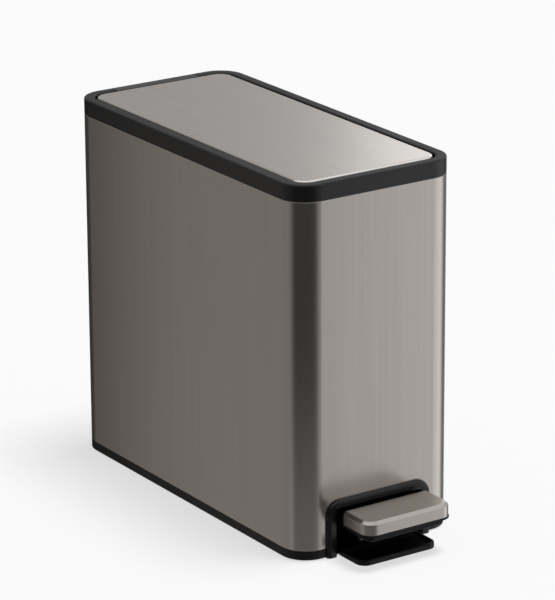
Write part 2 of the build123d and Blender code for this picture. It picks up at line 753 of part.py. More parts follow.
with BuildPart() as lid_frame:
    with BuildSketch(level(lid_bottom)):
        body_outline(lid_inset + shell_seat)
    extrude(amount=body_height - shell_seat - lid_bottom)
    fillet(lid_frame.edges().group_by(Axis.Z)[-1], lid_edge - fit_gap)
    # Lip under the edge of the steel panel
    with BuildSketch(level(lid_bottom)):
        body_outline(lid_inset)
    extrude(amount=lid_lip_depth)
    # Ribbed hollow under the panel
    rib_rows = int((body_length - 2 * lid_inset) / lid_rib_pitch)
    with BuildSketch(level(lid_bottom + lid_plate)):
        body_outline(lid_inset + shell_seat + wall)
        Rectangle(lid_rib, body_length, mode=Mode.SUBTRACT)
        with GridLocations(1, lid_rib_pitch, 1, rib_rows):
            Rectangle(body_width, lid_rib, mode=Mode.SUBTRACT)
    extrude(amount=body_height - lid_bottom, mode=Mode.SUBTRACT)
    with BuildSketch(level(lid_bottom)):
        body_outline(lid_inset + lid_dish_border)
    extrude(amount=lid_dish, mode=Mode.SUBTRACT)
    # Hinge tab: a knuckle round the pins, a block level with the rim, and a web to the lip
    with BuildSketch(Plane.YZ) as tab_profile:
        with Locations((back_y, hinge_z)):
            Rectangle(lid_inset - fit_gap, hinge_drop, align=(Align.MAX, Align.MIN))
        fillet(tab_profile.vertices().group_by(Axis.Y)[-1].sort_by(Axis.X)[-1], tab_edge)
        with Locations((hinge_y, hinge_z)):
            Circle(knuckle_radius)
        with Locations((hinge_y, lid_bottom)):
            Rectangle(hinge_inset + lid_lip_depth, lid_lip_depth, align=(Align.MAX, Align.MIN))
    extrude(amount=tab_half, both=True)
    with BuildSketch(Plane.YZ):
        with Locations((hinge_y, hinge_z)):
            Circle(hinge_pin_radius + bearing_gap)
    extrude(amount=tab_half, both=True, mode=Mode.SUBTRACT)
    # Crank arms, slotted for the push rod's cross pin
    with BuildSketch(Plane.YZ.offset(arm_space / 2), Plane.YZ.offset(-arm_half)):
        with Locations(crank_point(slot_far - slot_width / 2)):
            Circle(slot_width / 2 + arm_rim)
        with Locations(((rod_y - arm_root + lid_back_y) / 2, lid_bottom + lid_plate / 2)):
            Rectangle(lid_back_y - rod_y + arm_root, lid_plate)
        make_hull()
        with Locations(crank_point((slot_near + slot_far) / 2)):
            SlotOverall(slot_far - slot_near, slot_width, rotation=crank_tilt, mode=Mode.SUBTRACT)
    extrude(amount=arm_thickness)

# ---- Pedal --------------------------------------------------------------------

with BuildPart() as cap_hollow:
    with BuildSketch(ahead(cap_bottom)):
        add(pedal_outline(sheet))
    extrude(amount=cap_height - sheet)
    chamfer(cap_hollow.edges().group_by(Axis.Z)[-1], cap_bevel - bevel_share * sheet)

with BuildPart() as pedal_cap:
    with BuildSketch(ahead(cap_bottom)):
        add(pedal_outline())
    extrude(amount=cap_height)
    chamfer(pedal_cap.edges().group_by(Axis.Z)[-1], cap_bevel)
    for edge_z in (cap_top, cap_top - cap_bevel):
        bevel_edges = pedal_cap.edges().filter_by_position(Axis.Z, edge_z - sheet_edge, edge_z + sheet_edge)
        fillet(bevel_edges, cap_edge)
    add(cap_hollow.part, mode=Mode.SUBTRACT)
    with BuildSketch(front_face.offset(pedal_reach - pedal_depth)):
        with Locations((0, cap_bottom)):
            Rectangle(2 * (neck_half + fit_gap), 2 * (neck_top + fit_gap - cap_bottom))
    extrude(amount=2 * sheet, mode=Mode.SUBTRACT)

with BuildPart() as pedal_core:
    with BuildSketch(ahead(core_bottom)):
        add(pedal_outline(core_inset))
    extrude(amount=core_drop)
    fillet(pedal_core.edges().group_by(Axis.Z)[0], core_edge)
    with BuildSketch(ahead(lip_bottom)):
        add(pedal_outline(-lip_overhang))
    extrude(amount=core_lip)
    with BuildSketch(ahead(cap_bottom)):
        add(pedal_outline(shell_seat))
    extrude(amount=cap_height - shell_seat)
    chamfer(pedal_core.edges().group_by(Axis.Z)[-1], cap_bevel - bevel_share * shell_seat)
    # Neck through the doorway
    with BuildSketch(front_face.offset(-neck_inside)):
        with Locations((0, (neck_top + core_bottom) / 2)):
            Rectangle(2 * neck_half, neck_top - core_bottom)
    extrude(amount=neck_inside + pedal_reach - pedal_depth + core_inset + wall)
    # Socket for the lever, and its screws
    with BuildSketch(lever_plane):
        with Locations((lever_start - fit_gap, 0)):
            Rectangle(body_length / 2, lever_height + 2 * fit_gap, align=(Align.MIN, Align.CENTER))
    extrude(amount=lever_width / 2 + fit_gap, both=True, mode=Mode.SUBTRACT)
    with BuildSketch(ahead(core_bottom)):
        with Locations((core_screw_x, core_screw_ahead), (-core_screw_x, core_screw_ahead)):
            Circle(screw_radius + bore_gap)
    extrude(amount=core_screw_length + bore_gap, mode=Mode.SUBTRACT)
    with BuildSketch(ahead(core_bottom)):
        with Locations((core_screw_x, core_screw_ahead), (-core_screw_x, core_screw_ahead)):
            Circle(screw_head_radius + fit_gap)
    extrude(amount=screw_head, mode=Mode.SUBTRACT)

with BuildPart() as pedal_lever:
    # Two cheeks, with bosses bored for the bushes, and the web that joins them along the top
    with BuildSketch(lever_plane.offset(lever_width / 2 - lever_sheet), lever_plane.offset(-lever_width / 2)):
        with Locations(((lever_start + lever_end) / 2, 0)):
            Rectangle(lever_end - lever_start, lever_height)
        Circle(lever_boss)
        Circle(bush_radius + bore_gap, mode=Mode.SUBTRACT)
    extrude(amount=lever_sheet)
    with BuildSketch(lever_plane):
        with Locations(((lever_start + lever_end) / 2, (lever_height - lever_sheet) / 2)):
            Rectangle(lever_end - lever_start, lever_sheet)
    extrude(amount=lever_width / 2 - lever_sheet, both=True)
    with BuildSketch(ahead(core_bottom)):
        with Locations((core_screw_x, core_screw_ahead), (-core_screw_x, core_screw_ahead)):
            Circle(screw_radius + bore_gap)
    extrude(amount=cap_top - core_bottom, mode=Mode.SUBTRACT)

with BuildPart() as pedal_screws:
    with BuildSketch(ahead(core_bottom)):
        with Locations((core_screw_x, core_screw_ahead), (-core_screw_x, core_screw_ahead)):
            Circle(screw_head_radius)
    extrude(amount=screw_head)
    chamfer(pedal_screws.edges().group_by(Axis.Z)[0], screw_head_edge)
    with BuildSketch(ahead(core_bottom + screw_head)):
        with Locations((core_screw_x, core_screw_ahead), (-core_screw_x, core_screw_ahead)):
            Circle(screw_radius)
    extrude(amount=core_screw_length - screw_head)

with BuildPart() as pivot_bushes:
    for start, way in ((lever_width / 2, 1), (-lever_width / 2, -1)):
        with BuildSketch(lever_plane.offset(start)):
            Circle(bush_radius + bush_flange_wall)
        extrude(amount=way * bush_flange)
        with BuildSketch(lever_plane.offset(start)):
            Circle(bush_radius)
        extrude(amount=-way * lever_sheet)
    with BuildSketch(lever_plane):
        Circle(axle_radius + bearing_gap)
    extrude(amount=bay_outer, both=True, mode=Mode.SUBTRACT)

# ---- Bucket -------------------------------------------------------------------

bucket_half = mouth_half - bucket_clearance
bucket_length = mouth_length - 2 * bucket_clearance
inner_half = bucket_half - bucket_wall
inner_length = bucket_length - 2 * bucket_wall
inner_corner = bucket_corner - bucket_wall

with BuildPart() as bucket_hollow:
    with BuildSketch(level(flange_top)):
        with Locations((0, bucket_y)):
            RectangleRounded(2 * inner_half, inner_length, inner_corner)
    extrude(amount=bucket_bottom + bucket_wall - flange_top, taper=bucket_taper)
    fillet(bucket_hollow.edges().group_by(Axis.Z)[0], bucket_foot_edge - bucket_wall)

with BuildPart() as inner_bucket:
    with BuildSketch(level(flange_top)):
        with Locations((0, bucket_y)):
            RectangleRounded(2 * bucket_half, bucket_length, bucket_corner)
    extrude(amount=bucket_bottom - flange_top, taper=bucket_taper)
    fillet(inner_bucket.edges().group_by(Axis.Z)[0], bucket_foot_edge)
    # Flange that hangs on the collar's ledge
    with BuildSketch(level(flange_bottom)):
        with Locations((0, bucket_y)):
            flange_half = bucket_half + bucket_flange
            flange_corner = bucket_corner + bucket_flange
            RectangleRounded(2 * flange_half, bucket_length + 2 * bucket_flange, flange_corner)
    extrude(amount=bucket_flange_thickness)
    add(bucket_hollow.part, mode=Mode.SUBTRACT)
    # Grips through the front and rear walls
    with BuildSketch(Plane.XZ):
        with Locations((0, flange_top - grip_drop)):
            SlotOverall(grip_width, grip_height)
    extrude(amount=body_length, both=True, mode=Mode.SUBTRACT)

# ---- Files, one for each piece ------------------------------------------------

pieces = {
    "body_shell": body_shell,
    "collar": collar,
    "base_tray": base_tray,
    "pedal_bezel": pedal_bezel,
    "foot_plate": foot_plate,
    "foot_plate_screws": foot_plate_screws,
    "rubber_feet": rubber_feet,
    "pedal_axle": pedal_axle,
    "axle_clips": axle_clips,
    "lever_rest_pad": lever_rest_pad,
    "rod_channel": rod_channel,
    "channel_screws": channel_screws,
    "damper_tube": damper_tube,
    "damper_caps": damper_caps,
    "hinge_pins": hinge_pins,
    "lid_rest_pads": lid_rest_pads,
    "lid_panel": lid_panel,
    "lid_frame": lid_frame,
    "pedal_cap": pedal_cap,
    "pedal_core": pedal_core,
    "pedal_lever": pedal_lever,
    "pedal_screws": pedal_screws,
    "pivot_bushes": pivot_bushes,
    "push_rod": push_rod,
    "rod_shoe": rod_shoe,
    "cross_pin": cross_pin,
    "cross_pin_clips": cross_pin_clips,
    "damper_piston": damper_piston,
    "inner_bucket": inner_bucket,
}

os.makedirs("parts", exist_ok=True)
for name, piece in pieces.items():
    piece.part.label = name
    export_step(piece.part, f"parts/{name}.step")

print("hinge axis at y, z:", round(hinge_y, 3), round(hinge_z, 3))
print("pivot axis at y, z:", round(pivot_y, 3), round(pivot_height, 3))
print("push rod at y:", round(rod_y, 3), "travel:", round(rod_travel, 3))
print("pedal angle:", round(pedal_angle, 4))
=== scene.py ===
# %% [markdown]
# # A slim step bin, finished and set in a plain studio
#
# The bin comes in as a frame of real pieces, each at its true size and already riding on the
# body that moves it. This script gives those pieces their finishes, makes the small forms
# that a machinist's model leaves out, and sets up a plain studio round them.

from math import cos, radians, sin, tau

import bmesh
import bpy
from mathutils import Matrix, Vector


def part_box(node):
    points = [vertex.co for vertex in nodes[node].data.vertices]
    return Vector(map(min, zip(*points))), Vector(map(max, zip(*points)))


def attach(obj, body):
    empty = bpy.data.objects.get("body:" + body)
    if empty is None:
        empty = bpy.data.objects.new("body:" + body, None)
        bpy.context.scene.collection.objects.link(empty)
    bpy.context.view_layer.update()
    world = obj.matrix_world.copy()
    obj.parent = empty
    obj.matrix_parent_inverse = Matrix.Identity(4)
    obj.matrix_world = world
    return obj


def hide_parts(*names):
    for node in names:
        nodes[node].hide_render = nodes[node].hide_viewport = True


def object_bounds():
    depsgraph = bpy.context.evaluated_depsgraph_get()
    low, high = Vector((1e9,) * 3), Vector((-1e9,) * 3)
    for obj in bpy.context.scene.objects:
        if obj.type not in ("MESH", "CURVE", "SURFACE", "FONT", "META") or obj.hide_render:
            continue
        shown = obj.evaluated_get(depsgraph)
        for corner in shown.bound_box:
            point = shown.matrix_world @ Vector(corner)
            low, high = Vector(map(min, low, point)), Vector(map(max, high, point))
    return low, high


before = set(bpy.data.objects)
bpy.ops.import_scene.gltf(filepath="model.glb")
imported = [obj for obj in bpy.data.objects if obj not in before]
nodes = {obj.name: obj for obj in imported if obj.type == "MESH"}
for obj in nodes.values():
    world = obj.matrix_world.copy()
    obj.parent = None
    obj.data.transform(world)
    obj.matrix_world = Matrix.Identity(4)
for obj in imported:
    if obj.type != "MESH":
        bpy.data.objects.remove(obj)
cad_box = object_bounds()
MM = 0.001


def in_mm(box):
    """The two corners of a box in millimetres, for printing."""
    return [[round(value / MM, 1) for value in corner] for corner in box]


print("pieces in the frame:", len(nodes))
print("box in mm:", in_mm(cad_box))

# %% [markdown]
# ## The camera
#
# A bin is best shown from far away through a long lens, so that its upright edges stay
# nearly parallel. A short lens close by would make them lean. This camera stands a little
# over three metres off, to the left of the front face and about a metre higher than the
# middle of the body, and it aims just beside that middle.

# %% Place the camera
IMAGE_WIDTH, IMAGE_HEIGHT = 555, 600
CAMERA_AZIMUTH, CAMERA_RISE = radians(-33.53), radians(18.68)
CAMERA_ROLL = radians(-0.325)
CAMERA_DISTANCE = 3.240
FOCAL_PIXELS = 3659.5  # the focal length, measured in pixels of the image
CENTRE_IN_IMAGE = (261.52, 306.68)
SENSOR = 36  # mm, along the image's height
FARTHEST = 50  # metres that the lens still sees
sleeve_low, sleeve_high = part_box("body_shell")
BODY_CENTRE = Vector((0, (sleeve_low.y + sleeve_high.y) / 2, cad_box[1][2] / 2))


def compass(azimuth, rise):
    """The direction from the bin out to this azimuth and rise, as a unit vector."""
    return Vector((sin(azimuth) * cos(rise), -cos(azimuth) * cos(rise), sin(rise)))


def add_camera():
    """A long lens on the body's centre, which falls where CENTRE_IN_IMAGE says."""
    out = compass(CAMERA_AZIMUTH, CAMERA_RISE)
    place = BODY_CENTRE + CAMERA_DISTANCE * out
    right = Vector((cos(CAMERA_AZIMUTH), sin(CAMERA_AZIMUTH), 0))
    up = out.cross(right)
    metres_per_pixel = CAMERA_DISTANCE / FOCAL_PIXELS
    aim = BODY_CENTRE + right * (IMAGE_WIDTH / 2 - CENTRE_IN_IMAGE[0]) * metres_per_pixel
    aim += up * (CENTRE_IN_IMAGE[1] - IMAGE_HEIGHT / 2) * metres_per_pixel
    lens = bpy.data.cameras.new("studio_camera")
    lens.sensor_width = SENSOR
    lens.lens = FOCAL_PIXELS * SENSOR / IMAGE_HEIGHT
    lens.clip_end = FARTHEST
    camera = bpy.data.objects.new("studio_camera", lens)
    bpy.context.scene.collection.objects.link(camera)
    turn = (aim - place).to_track_quat("-Z", "Y").to_matrix().to_4x4()
    camera.matrix_world = Matrix.Translation(place) @ turn @ Matrix.Rotation(CAMERA_ROLL, 4, "Z")
    bpy.context.scene.camera = camera
    print("lens in mm:", round(lens.lens, 1))
    print("body's centre in mm:", [round(value / MM, 2) for value in BODY_CENTRE])


add_camera()

# Show colours as they are, with no film look
bpy.context.scene.view_settings.view_transform = "Standard"

# %% [markdown]
# ## Small helpers for node trees
#
# Every finish here is a tree of shader nodes. A few short helpers keep those trees readable:
# one makes a node with its settings, one links two sockets, and the others do arithmetic,
# turn a value into a mask or a range, and mix colours.


# %% Make and join nodes
def new_node(tree, kind, **settings):
    """A node of this kind, with its settings and the values of its named inputs."""
    node = tree.nodes.new(kind)
    for name, value in settings.items():
        if hasattr(node, name):
            setattr(node, name, value)
        else:
            node.inputs[name.replace("_", " ")].default_value = value
    return node


def join(tree, start, end):
    """Links one socket to another, or sets the second to a plain number."""
    if isinstance(start, (int, float)):
        end.default_value = start
    else:
        tree.links.new(start, end)


def maths(tree, operation, *values):
    """The output of a Math node on sockets or numbers."""
    node = new_node(tree, "ShaderNodeMath", operation=operation)
    for socket, value in zip(node.inputs, values):
        join(tree, value, socket)
    return node.outputs[0]


def plus(tree, value, mask, amount):
    """A value, raised by a mask times an amount."""
    return maths(tree, "MULTIPLY_ADD", mask, amount, value)


def both(tree, first, first_share, second, second_share):
    """Two masks added up, each times its share."""
    return plus(tree, maths(tree, "MULTIPLY", second, second_share), first, first_share)


def span(tree, value, low, high, start=0.0, end=1.0, smooth=False):
    """Maps the value's stretch from start to end onto the range from low to high."""
    way = "SMOOTHSTEP" if smooth else "LINEAR"
    node = new_node(tree, "ShaderNodeMapRange", interpolation_type=way)
    limits = {"Value": value, "From Min": start, "From Max": end, "To Min": low, "To Max": high}
    for name, limit in limits.items():
        join(tree, limit, node.inputs[name])
    return node.outputs[0]


def rise(tree, value, start, end):
    """A mask that climbs smoothly from 0 to 1 as the value goes from start to end."""
    return span(tree, value, 0.0, 1.0, start, end, smooth=True)


def fall(tree, value, start, end):
    """A mask that drops smoothly from 1 to 0 as the value goes from start to end."""
    return span(tree, value, 1.0, 0.0, start, end, smooth=True)


def tint(tree, mask, dark, light):
    """Mixes two colours, each a socket or three numbers, by a mask."""
    node = new_node(tree, "ShaderNodeMix", data_type="RGBA")
    join(tree, mask, node.inputs["Factor"])
    for name, colour in (("A", dark), ("B", light)):
        if isinstance(colour, tuple):
            node.inputs[name].default_value = (*colour, 1)
        else:
            join(tree, colour, node.inputs[name])
    return node.outputs["Result"]


def ramp(tree, mask, stops):
    """A straight colour ramp. Each stop is a place from 0 to 1 and a grey or a colour."""
    node = new_node(tree, "ShaderNodeValToRGB")
    elements = node.color_ramp.elements
    while len(elements) < len(stops):
        elements.new(0.5)
    for element, (place, value) in zip(elements, stops):
        element.position = place
        element.color = (*value, 1) if isinstance(value, tuple) else (value, value, value, 1)
    join(tree, mask, node.inputs[0])
    return node.outputs[0]


def axes_of(tree, vector):
    """The X, Y and Z of a vector socket."""
    parts = new_node(tree, "ShaderNodeSeparateXYZ")
    join(tree, vector, parts.inputs[0])
    return parts.outputs["X"], parts.outputs["Y"], parts.outputs["Z"]


def turn_of(tree, x, y):
    """The turn about the upright axis: 0 towards the left face, a quarter towards the front."""
    return maths(tree, "ARCTAN2", maths(tree, "MULTIPLY", y, -1), maths(tree, "MULTIPLY", x, -1))


# %% [markdown]
# ## The studio
#
# Satin steel shows the studio rather than itself, so the studio is shaped with care. Round
# the bin hangs a plain tent, brighter in some directions than in others. The upright faces
# are seen from above, so they mirror its lower half, and the lid mirrors its upper half.
# Overhead the tent is pale all round.

# %% The tent, brighter and darker by direction
# Degrees turn from the left face's outward side towards the front. Each stop has the
# tent's brightness in that direction, first below the horizon and then above it.
TENT_BELOW = [
    (-180, 0.35), (-173, 0.14), (-162, 0.12), (-150, 0.36), (-130, 0.40), (-115, 0.10),
    (-85, 0.06), (-70, 0.16), (-30, 0.25), (10, 0.30), (100, 0.42), (118, 0.50),
    (127, 0.55), (133, 0.80), (139, 1.0), (160, 1.0), (171, 0.75), (180, 0.35)]
TENT_ABOVE = [
    (-180, 0.60), (-110, 0.60), (-60, 0.30), (-10, 0.22), (10, 0.10), (80, 0.10),
    (122, 0.52), (140, 0.66), (180, 0.60)]
TENT_TOP = 0.8
# The heights, as the sine of the rise, between which one stretch gives way to the next
HORIZON = (-0.10, 0.15)
CEILING = (0.45, 0.85)


def build_tent():
    """A world whose brightness follows the compass and the height."""
    world = bpy.data.worlds.new("studio_tent")
    bpy.context.scene.world = world
    world.use_nodes = True
    tree = world.node_tree
    tree.nodes.clear()
    where = new_node(tree, "ShaderNodeTexCoord")
    x, y, z = axes_of(tree, where.outputs["Generated"])
    share = maths(tree, "MULTIPLY_ADD", turn_of(tree, x, y), 1 / tau, 0.5)
    below, above = [
        ramp(tree, share, [((angle + 180) / 360, value) for angle, value in stops])
        for stops in (TENT_BELOW, TENT_ABOVE)]
    walls = tint(tree, rise(tree, z, *HORIZON), below, above)
    lit = tint(tree, rise(tree, z, *CEILING), walls, (TENT_TOP,) * 3)
    light = new_node(tree, "ShaderNodeBackground", Strength=1.0)
    join(tree, lit, light.inputs["Color"])
    join(tree, light.outputs[0], new_node(tree, "ShaderNodeOutputWorld").inputs["Surface"])


build_tent()
print("tent stops:", len(TENT_BELOW) + len(TENT_ABOVE))

# %% [markdown]
# ## Gradient cards
#
# Three cards with a gradient hang close to the bin, one for each face that the camera sees.
# A card that is near lies in a different direction for each point of the steel, so its
# gradient is spread over a flat face, which no distant light can do. Only reflections see
# the cards: they light nothing else, throw no shadow, and hide nothing from the camera.


# %% Make glowing paper
def start_paper(name):
    """A new material and its empty tree, for a sheet that glows."""
    paper = bpy.data.materials.new(name)
    paper.use_nodes = True
    paper.node_tree.nodes.clear()
    return paper, paper.node_tree


def let_glow(tree, colour):
    """Ends the tree with a glow of this colour."""
    glow = new_node(tree, "ShaderNodeEmission", Strength=1.0)
    join(tree, colour, glow.inputs["Color"])
    join(tree, glow.outputs[0], new_node(tree, "ShaderNodeOutputMaterial").inputs["Surface"])


def glowing(name, width, stops, hue):
    """A glow that changes across a sheet from (metres from its middle, brightness) stops."""
    paper, tree = start_paper(name)
    x, _, _ = axes_of(tree, new_node(tree, "ShaderNodeTexCoord").outputs["Object"])
    across = maths(tree, "MULTIPLY_ADD", x, 1 / width, 0.5)
    places = [
        (0.5 + place / width, tuple(value * part for part in hue)) for place, value in stops]
    let_glow(tree, ramp(tree, across, places))
    return paper


def only_reflected(card):
    """Keeps a card out of everything but reflections."""
    for ray in ("camera", "diffuse", "shadow", "transmission", "volume_scatter"):
        setattr(card, "visible_" + ray, False)


# %% Hang the gradient cards
VIEW = compass(CAMERA_AZIMUTH, CAMERA_RISE)
LEFT_FACE = Vector((cad_box[0][0], BODY_CENTRE.y, BODY_CENTRE.z))
FRONT_FACE = Vector((0, sleeve_low.y, BODY_CENTRE.z))
LID_FACE = Vector((0, BODY_CENTRE.y, cad_box[1][2]))
# How far off each card hangs, and then its width and height, all in metres
LEFT_AWAY, LEFT_SIZE = 0.5, (1.0, 0.9)
FRONT_AWAY, FRONT_SIZE = 0.8, (0.8, 1.2)
LID_AWAY, LID_SIZE = 1.0, (1.6, 0.6)
# The left face gets darker towards the back, and is a little warmer than the others
LEFT_STOPS = [
    (-0.5, 0.25), (-0.10, 0.27), (-0.02, 0.28), (0.04, 0.25), (0.09, 0.14), (0.13, 0.05),
    (0.5, 0.03)]
LEFT_HUE = (1.06, 1.0, 0.94)
# The front face gets a little brighter towards the right
FRONT_STOPS = [(-0.4, 1.0), (0.0, 1.0), (0.1, 0.90), (0.3, 0.68), (0.4, 0.58)]
FRONT_ASIDE = -0.4
# The lid gets brighter towards the right
LID_STOPS = [
    (-0.8, 0.455), (-0.12, 0.465), (-0.02, 0.50), (0.06, 0.58), (0.10, 0.73), (0.13, 1.0),
    (0.19, 1.33), (0.8, 1.33)]


def hang_card(name, facing, away, size, stops, hue=(1, 1, 1), aside=0.0):
    """A glowing sheet that faces a point, hangs away from it and is slid aside, in metres."""
    mesh = bpy.data.meshes.new(name)
    shape = bmesh.new()
    # A grid of size 0.5 is one metre square, so the scale is the card's own size
    bmesh.ops.create_grid(shape, x_segments=1, y_segments=1, size=0.5)
    bmesh.ops.scale(shape, vec=(*size, 1), verts=shape.verts)
    shape.to_mesh(mesh)
    shape.free()
    mesh.materials.append(glowing(name, size[0], stops, hue))
    card = bpy.data.objects.new(name, mesh)
    bpy.context.scene.collection.objects.link(card)
    turn = (-away).to_track_quat("Z", "Y").to_matrix().to_4x4()
    slide = Matrix.Translation((aside, 0, 0))
    card.matrix_world = Matrix.Translation(facing + away) @ turn @ slide
    only_reflected(card)
    print(name, "at", [round(value, 2) for value in card.location])


# Each card hangs where its face mirrors the camera's own line of sight
left_away = LEFT_AWAY * Vector((VIEW.x, -VIEW.y, -VIEW.z))
front_away = FRONT_AWAY * Vector((-VIEW.x, VIEW.y, -VIEW.z))
lid_away = LID_AWAY * Vector((-VIEW.x, -VIEW.y, VIEW.z))
hang_card("card_left", LEFT_FACE, left_away, LEFT_SIZE, LEFT_STOPS, hue=LEFT_HUE)
hang_card("card_front", FRONT_FACE, front_away, FRONT_SIZE, FRONT_STOPS, aside=FRONT_ASIDE)
hang_card("card_lid", LID_FACE, lid_away, LID_SIZE, LID_STOPS)

# %% [markdown]
# ## A flag for the round corner
#
# The round corner of the sleeve shows a dark upright band with crisp sides. A studio makes
# one with a flag, a dark sheet that stands in front of the corner. This one is bent round
# the corner, so that most of the corner mirrors it and the flat faces hardly do. Its ends
# are paler than its middle, and so is its foot, where a real flag picks up light from the
# table.

# %% Bend a flag round the front corner
FLAG_REACH = 0.25
FLAG_LOW, FLAG_HIGH = -0.35, 0.32
FLAG_SEGMENTS = 48
# Degrees turn from the left face's outward side towards the front, as the tent's do
FLAG_TURNS = (-12.0, 128.0)
FLAG_STOPS = [
    (-12, 0.24), (-6, 0.23), (3, 0.13), (9, 0.05), (97, 0.05), (107, 0.09), (114, 0.19),
    (120, 0.34), (128, 0.50)]
FLAG_FOOT, FLAG_FOOT_GLOW = (-0.12, 0.13), 0.12


def flag_paper():
    """A glow that follows the turn round the corner, and gets paler towards the foot."""
    paper, tree = start_paper("flag_paper")
    x, y, z = axes_of(tree, new_node(tree, "ShaderNodeTexCoord").outputs["Object"])
    first, last = FLAG_TURNS
    share = span(tree, turn_of(tree, x, y), 0.0, 1.0, radians(first), radians(last))
    places = [((angle - first) / (last - first), value) for angle, value in FLAG_STOPS]
    foot = span(tree, z, FLAG_FOOT_GLOW, 0.0, *FLAG_FOOT, smooth=True)
    lift = new_node(tree, "ShaderNodeMix", data_type="RGBA", blend_type="ADD", Factor=1.0)
    join(tree, ramp(tree, share, places), lift.inputs["A"])
    join(tree, foot, lift.inputs["B"])
    let_glow(tree, lift.outputs["Result"])
    return paper


def stand_flag(corner):
    """A sheet bent round an upright line through the corner, seen only in reflections."""
    shape = bmesh.new()
    first, last = (radians(turn) for turn in FLAG_TURNS)
    foot = Vector((-cos(first), -sin(first), 0)) * FLAG_REACH
    ends = [shape.verts.new(foot + Vector((0, 0, level))) for level in (FLAG_LOW, FLAG_HIGH)]
    edge = shape.edges.new(ends)
    bmesh.ops.spin(shape, geom=[*ends, edge], cent=(0, 0, 0), axis=(0, 0, 1),
                   angle=last - first, steps=FLAG_SEGMENTS, use_duplicate=False)
    mesh = bpy.data.meshes.new("card_flag")
    shape.to_mesh(mesh)
    shape.free()
    mesh.materials.append(flag_paper())
    flag = bpy.data.objects.new("card_flag", mesh)
    bpy.context.scene.collection.objects.link(flag)
    flag.location = corner
    only_reflected(flag)
    print("flag reaches", FLAG_REACH, "m round", [round(value, 3) for value in corner])


stand_flag(Vector((cad_box[0][0], sleeve_low.y, 0)))

# %% [markdown]
# ## The floor
#
# The floor is one large sheet. It glows a little by itself, so that it stays pale all round,
# and darkens only where the bin keeps the light away. The steel doesn't mirror it, because
# the tent's lower half already stands for a table there.

# %% Lay the floor
FLOOR_REACH = 6.0
FLOOR_PAPER = 0.12
FLOOR_GLOW = 0.665


def lay_floor():
    """A pale sheet under the bin, which steel doesn't mirror."""
    mesh = bpy.data.meshes.new("studio_floor")
    shape = bmesh.new()
    bmesh.ops.create_grid(shape, x_segments=1, y_segments=1, size=FLOOR_REACH)
    shape.to_mesh(mesh)
    shape.free()
    floor = bpy.data.objects.new("studio_floor", mesh)
    bpy.context.scene.collection.objects.link(floor)
    paper = bpy.data.materials.new("studio_paper")
    paper.use_nodes = True
    shader = paper.node_tree.nodes["Principled BSDF"]
    shader.inputs["Base Color"].default_value = (FLOOR_PAPER, FLOOR_PAPER, FLOOR_PAPER, 1)
    shader.inputs["Roughness"].default_value = 1.0
    shader.inputs["Specular IOR Level"].default_value = 0.0
    shader.inputs["Emission Color"].default_value = (1, 1, 1, 1)
    shader.inputs["Emission Strength"].default_value = FLOOR_GLOW
    mesh.materials.append(paper)
    floor.visible_glossy = False
    floor.visible_shadow = False
    print("floor:", 2 * FLOOR_REACH, "m wide")


lay_floor()

# %% [markdown]
# ## The soft light
#
# One large soft light shines down from far above, a little from the right and the front, so
# that it doesn't fall off across the floor, and the shadow is a narrow soft strip along the
# left side. An area lamp near the bin would leave a pool of light round it. Reflections
# don't see the lamp, or every flat steel face that catches it would burn out.

# %% Hang the soft light
SOFT_LIGHT = 6.0  # watts per square metre
SOFT_ANGLE = radians(20)
SOFT_FROM = (0.18, -0.12, 1.0)


def hang_soft_light():
    """A sun lamp as wide as a soft box, for soft shadows. The steel doesn't reflect it."""
    lamp = bpy.data.lights.new("soft_light", "SUN")
    lamp.energy = SOFT_LIGHT
    lamp.angle = SOFT_ANGLE
    light = bpy.data.objects.new("soft_light", lamp)
    light.visible_glossy = False
    bpy.context.scene.collection.objects.link(light)
    light.matrix_world = Vector(SOFT_FROM).to_track_quat("Z", "Y").to_matrix().to_4x4()
    print("soft light comes from", SOFT_FROM)


hang_soft_light()

# %% [markdown]
# ## Effects that several finishes share
#
# Brushed grain, moulded grain, rubbed edges and handling marks turn up in more than one
# material, so each is a shader node group with named inputs and outputs. A group gives out
# only masks and normals, and every material decides what its masks do to colour, gloss and
# height.


# %% Start a shader group
def effect_group(name, inputs, outputs, normals=()):
    """An empty group with float or vector inputs, mask or normal outputs, and its end nodes."""
    group = bpy.data.node_groups.new(name, "ShaderNodeTree")
    for socket, default in inputs:
        kind = "NodeSocketVector" if default is None else "NodeSocketFloat"
        made = group.interface.new_socket(socket, in_out="INPUT", socket_type=kind)
        if default is not None:
            made.default_value = default
    for socket in outputs:
        group.interface.new_socket(socket, in_out="OUTPUT", socket_type="NodeSocketFloat")
    for socket in normals:
        group.interface.new_socket(socket, in_out="OUTPUT", socket_type="NodeSocketVector")
    return group, new_node(group, "NodeGroupInput"), new_node(group, "NodeGroupOutput")


def noise(tree, vector, scale, detail=2.0, roughness=0.5):
    """The grey of a noise texture."""
    node = new_node(tree, "ShaderNodeTexNoise", Detail=detail, Roughness=roughness)
    join(tree, scale, node.inputs["Scale"])
    join(tree, vector, node.inputs["Vector"])
    return node.outputs["Fac"]


# %% [markdown]
# Brushing is done with an abrasive belt, which leaves strokes of all depths side by side. A
# noise that is stretched along the belt's way looks just like that. It is read at three
# scales: one scratch, a bundle of scratches, and the slow unevenness of the whole sheet.

# %% Brushed grain
STROKE_DETAIL = 5.0  # each step halves the width of the finest stroke


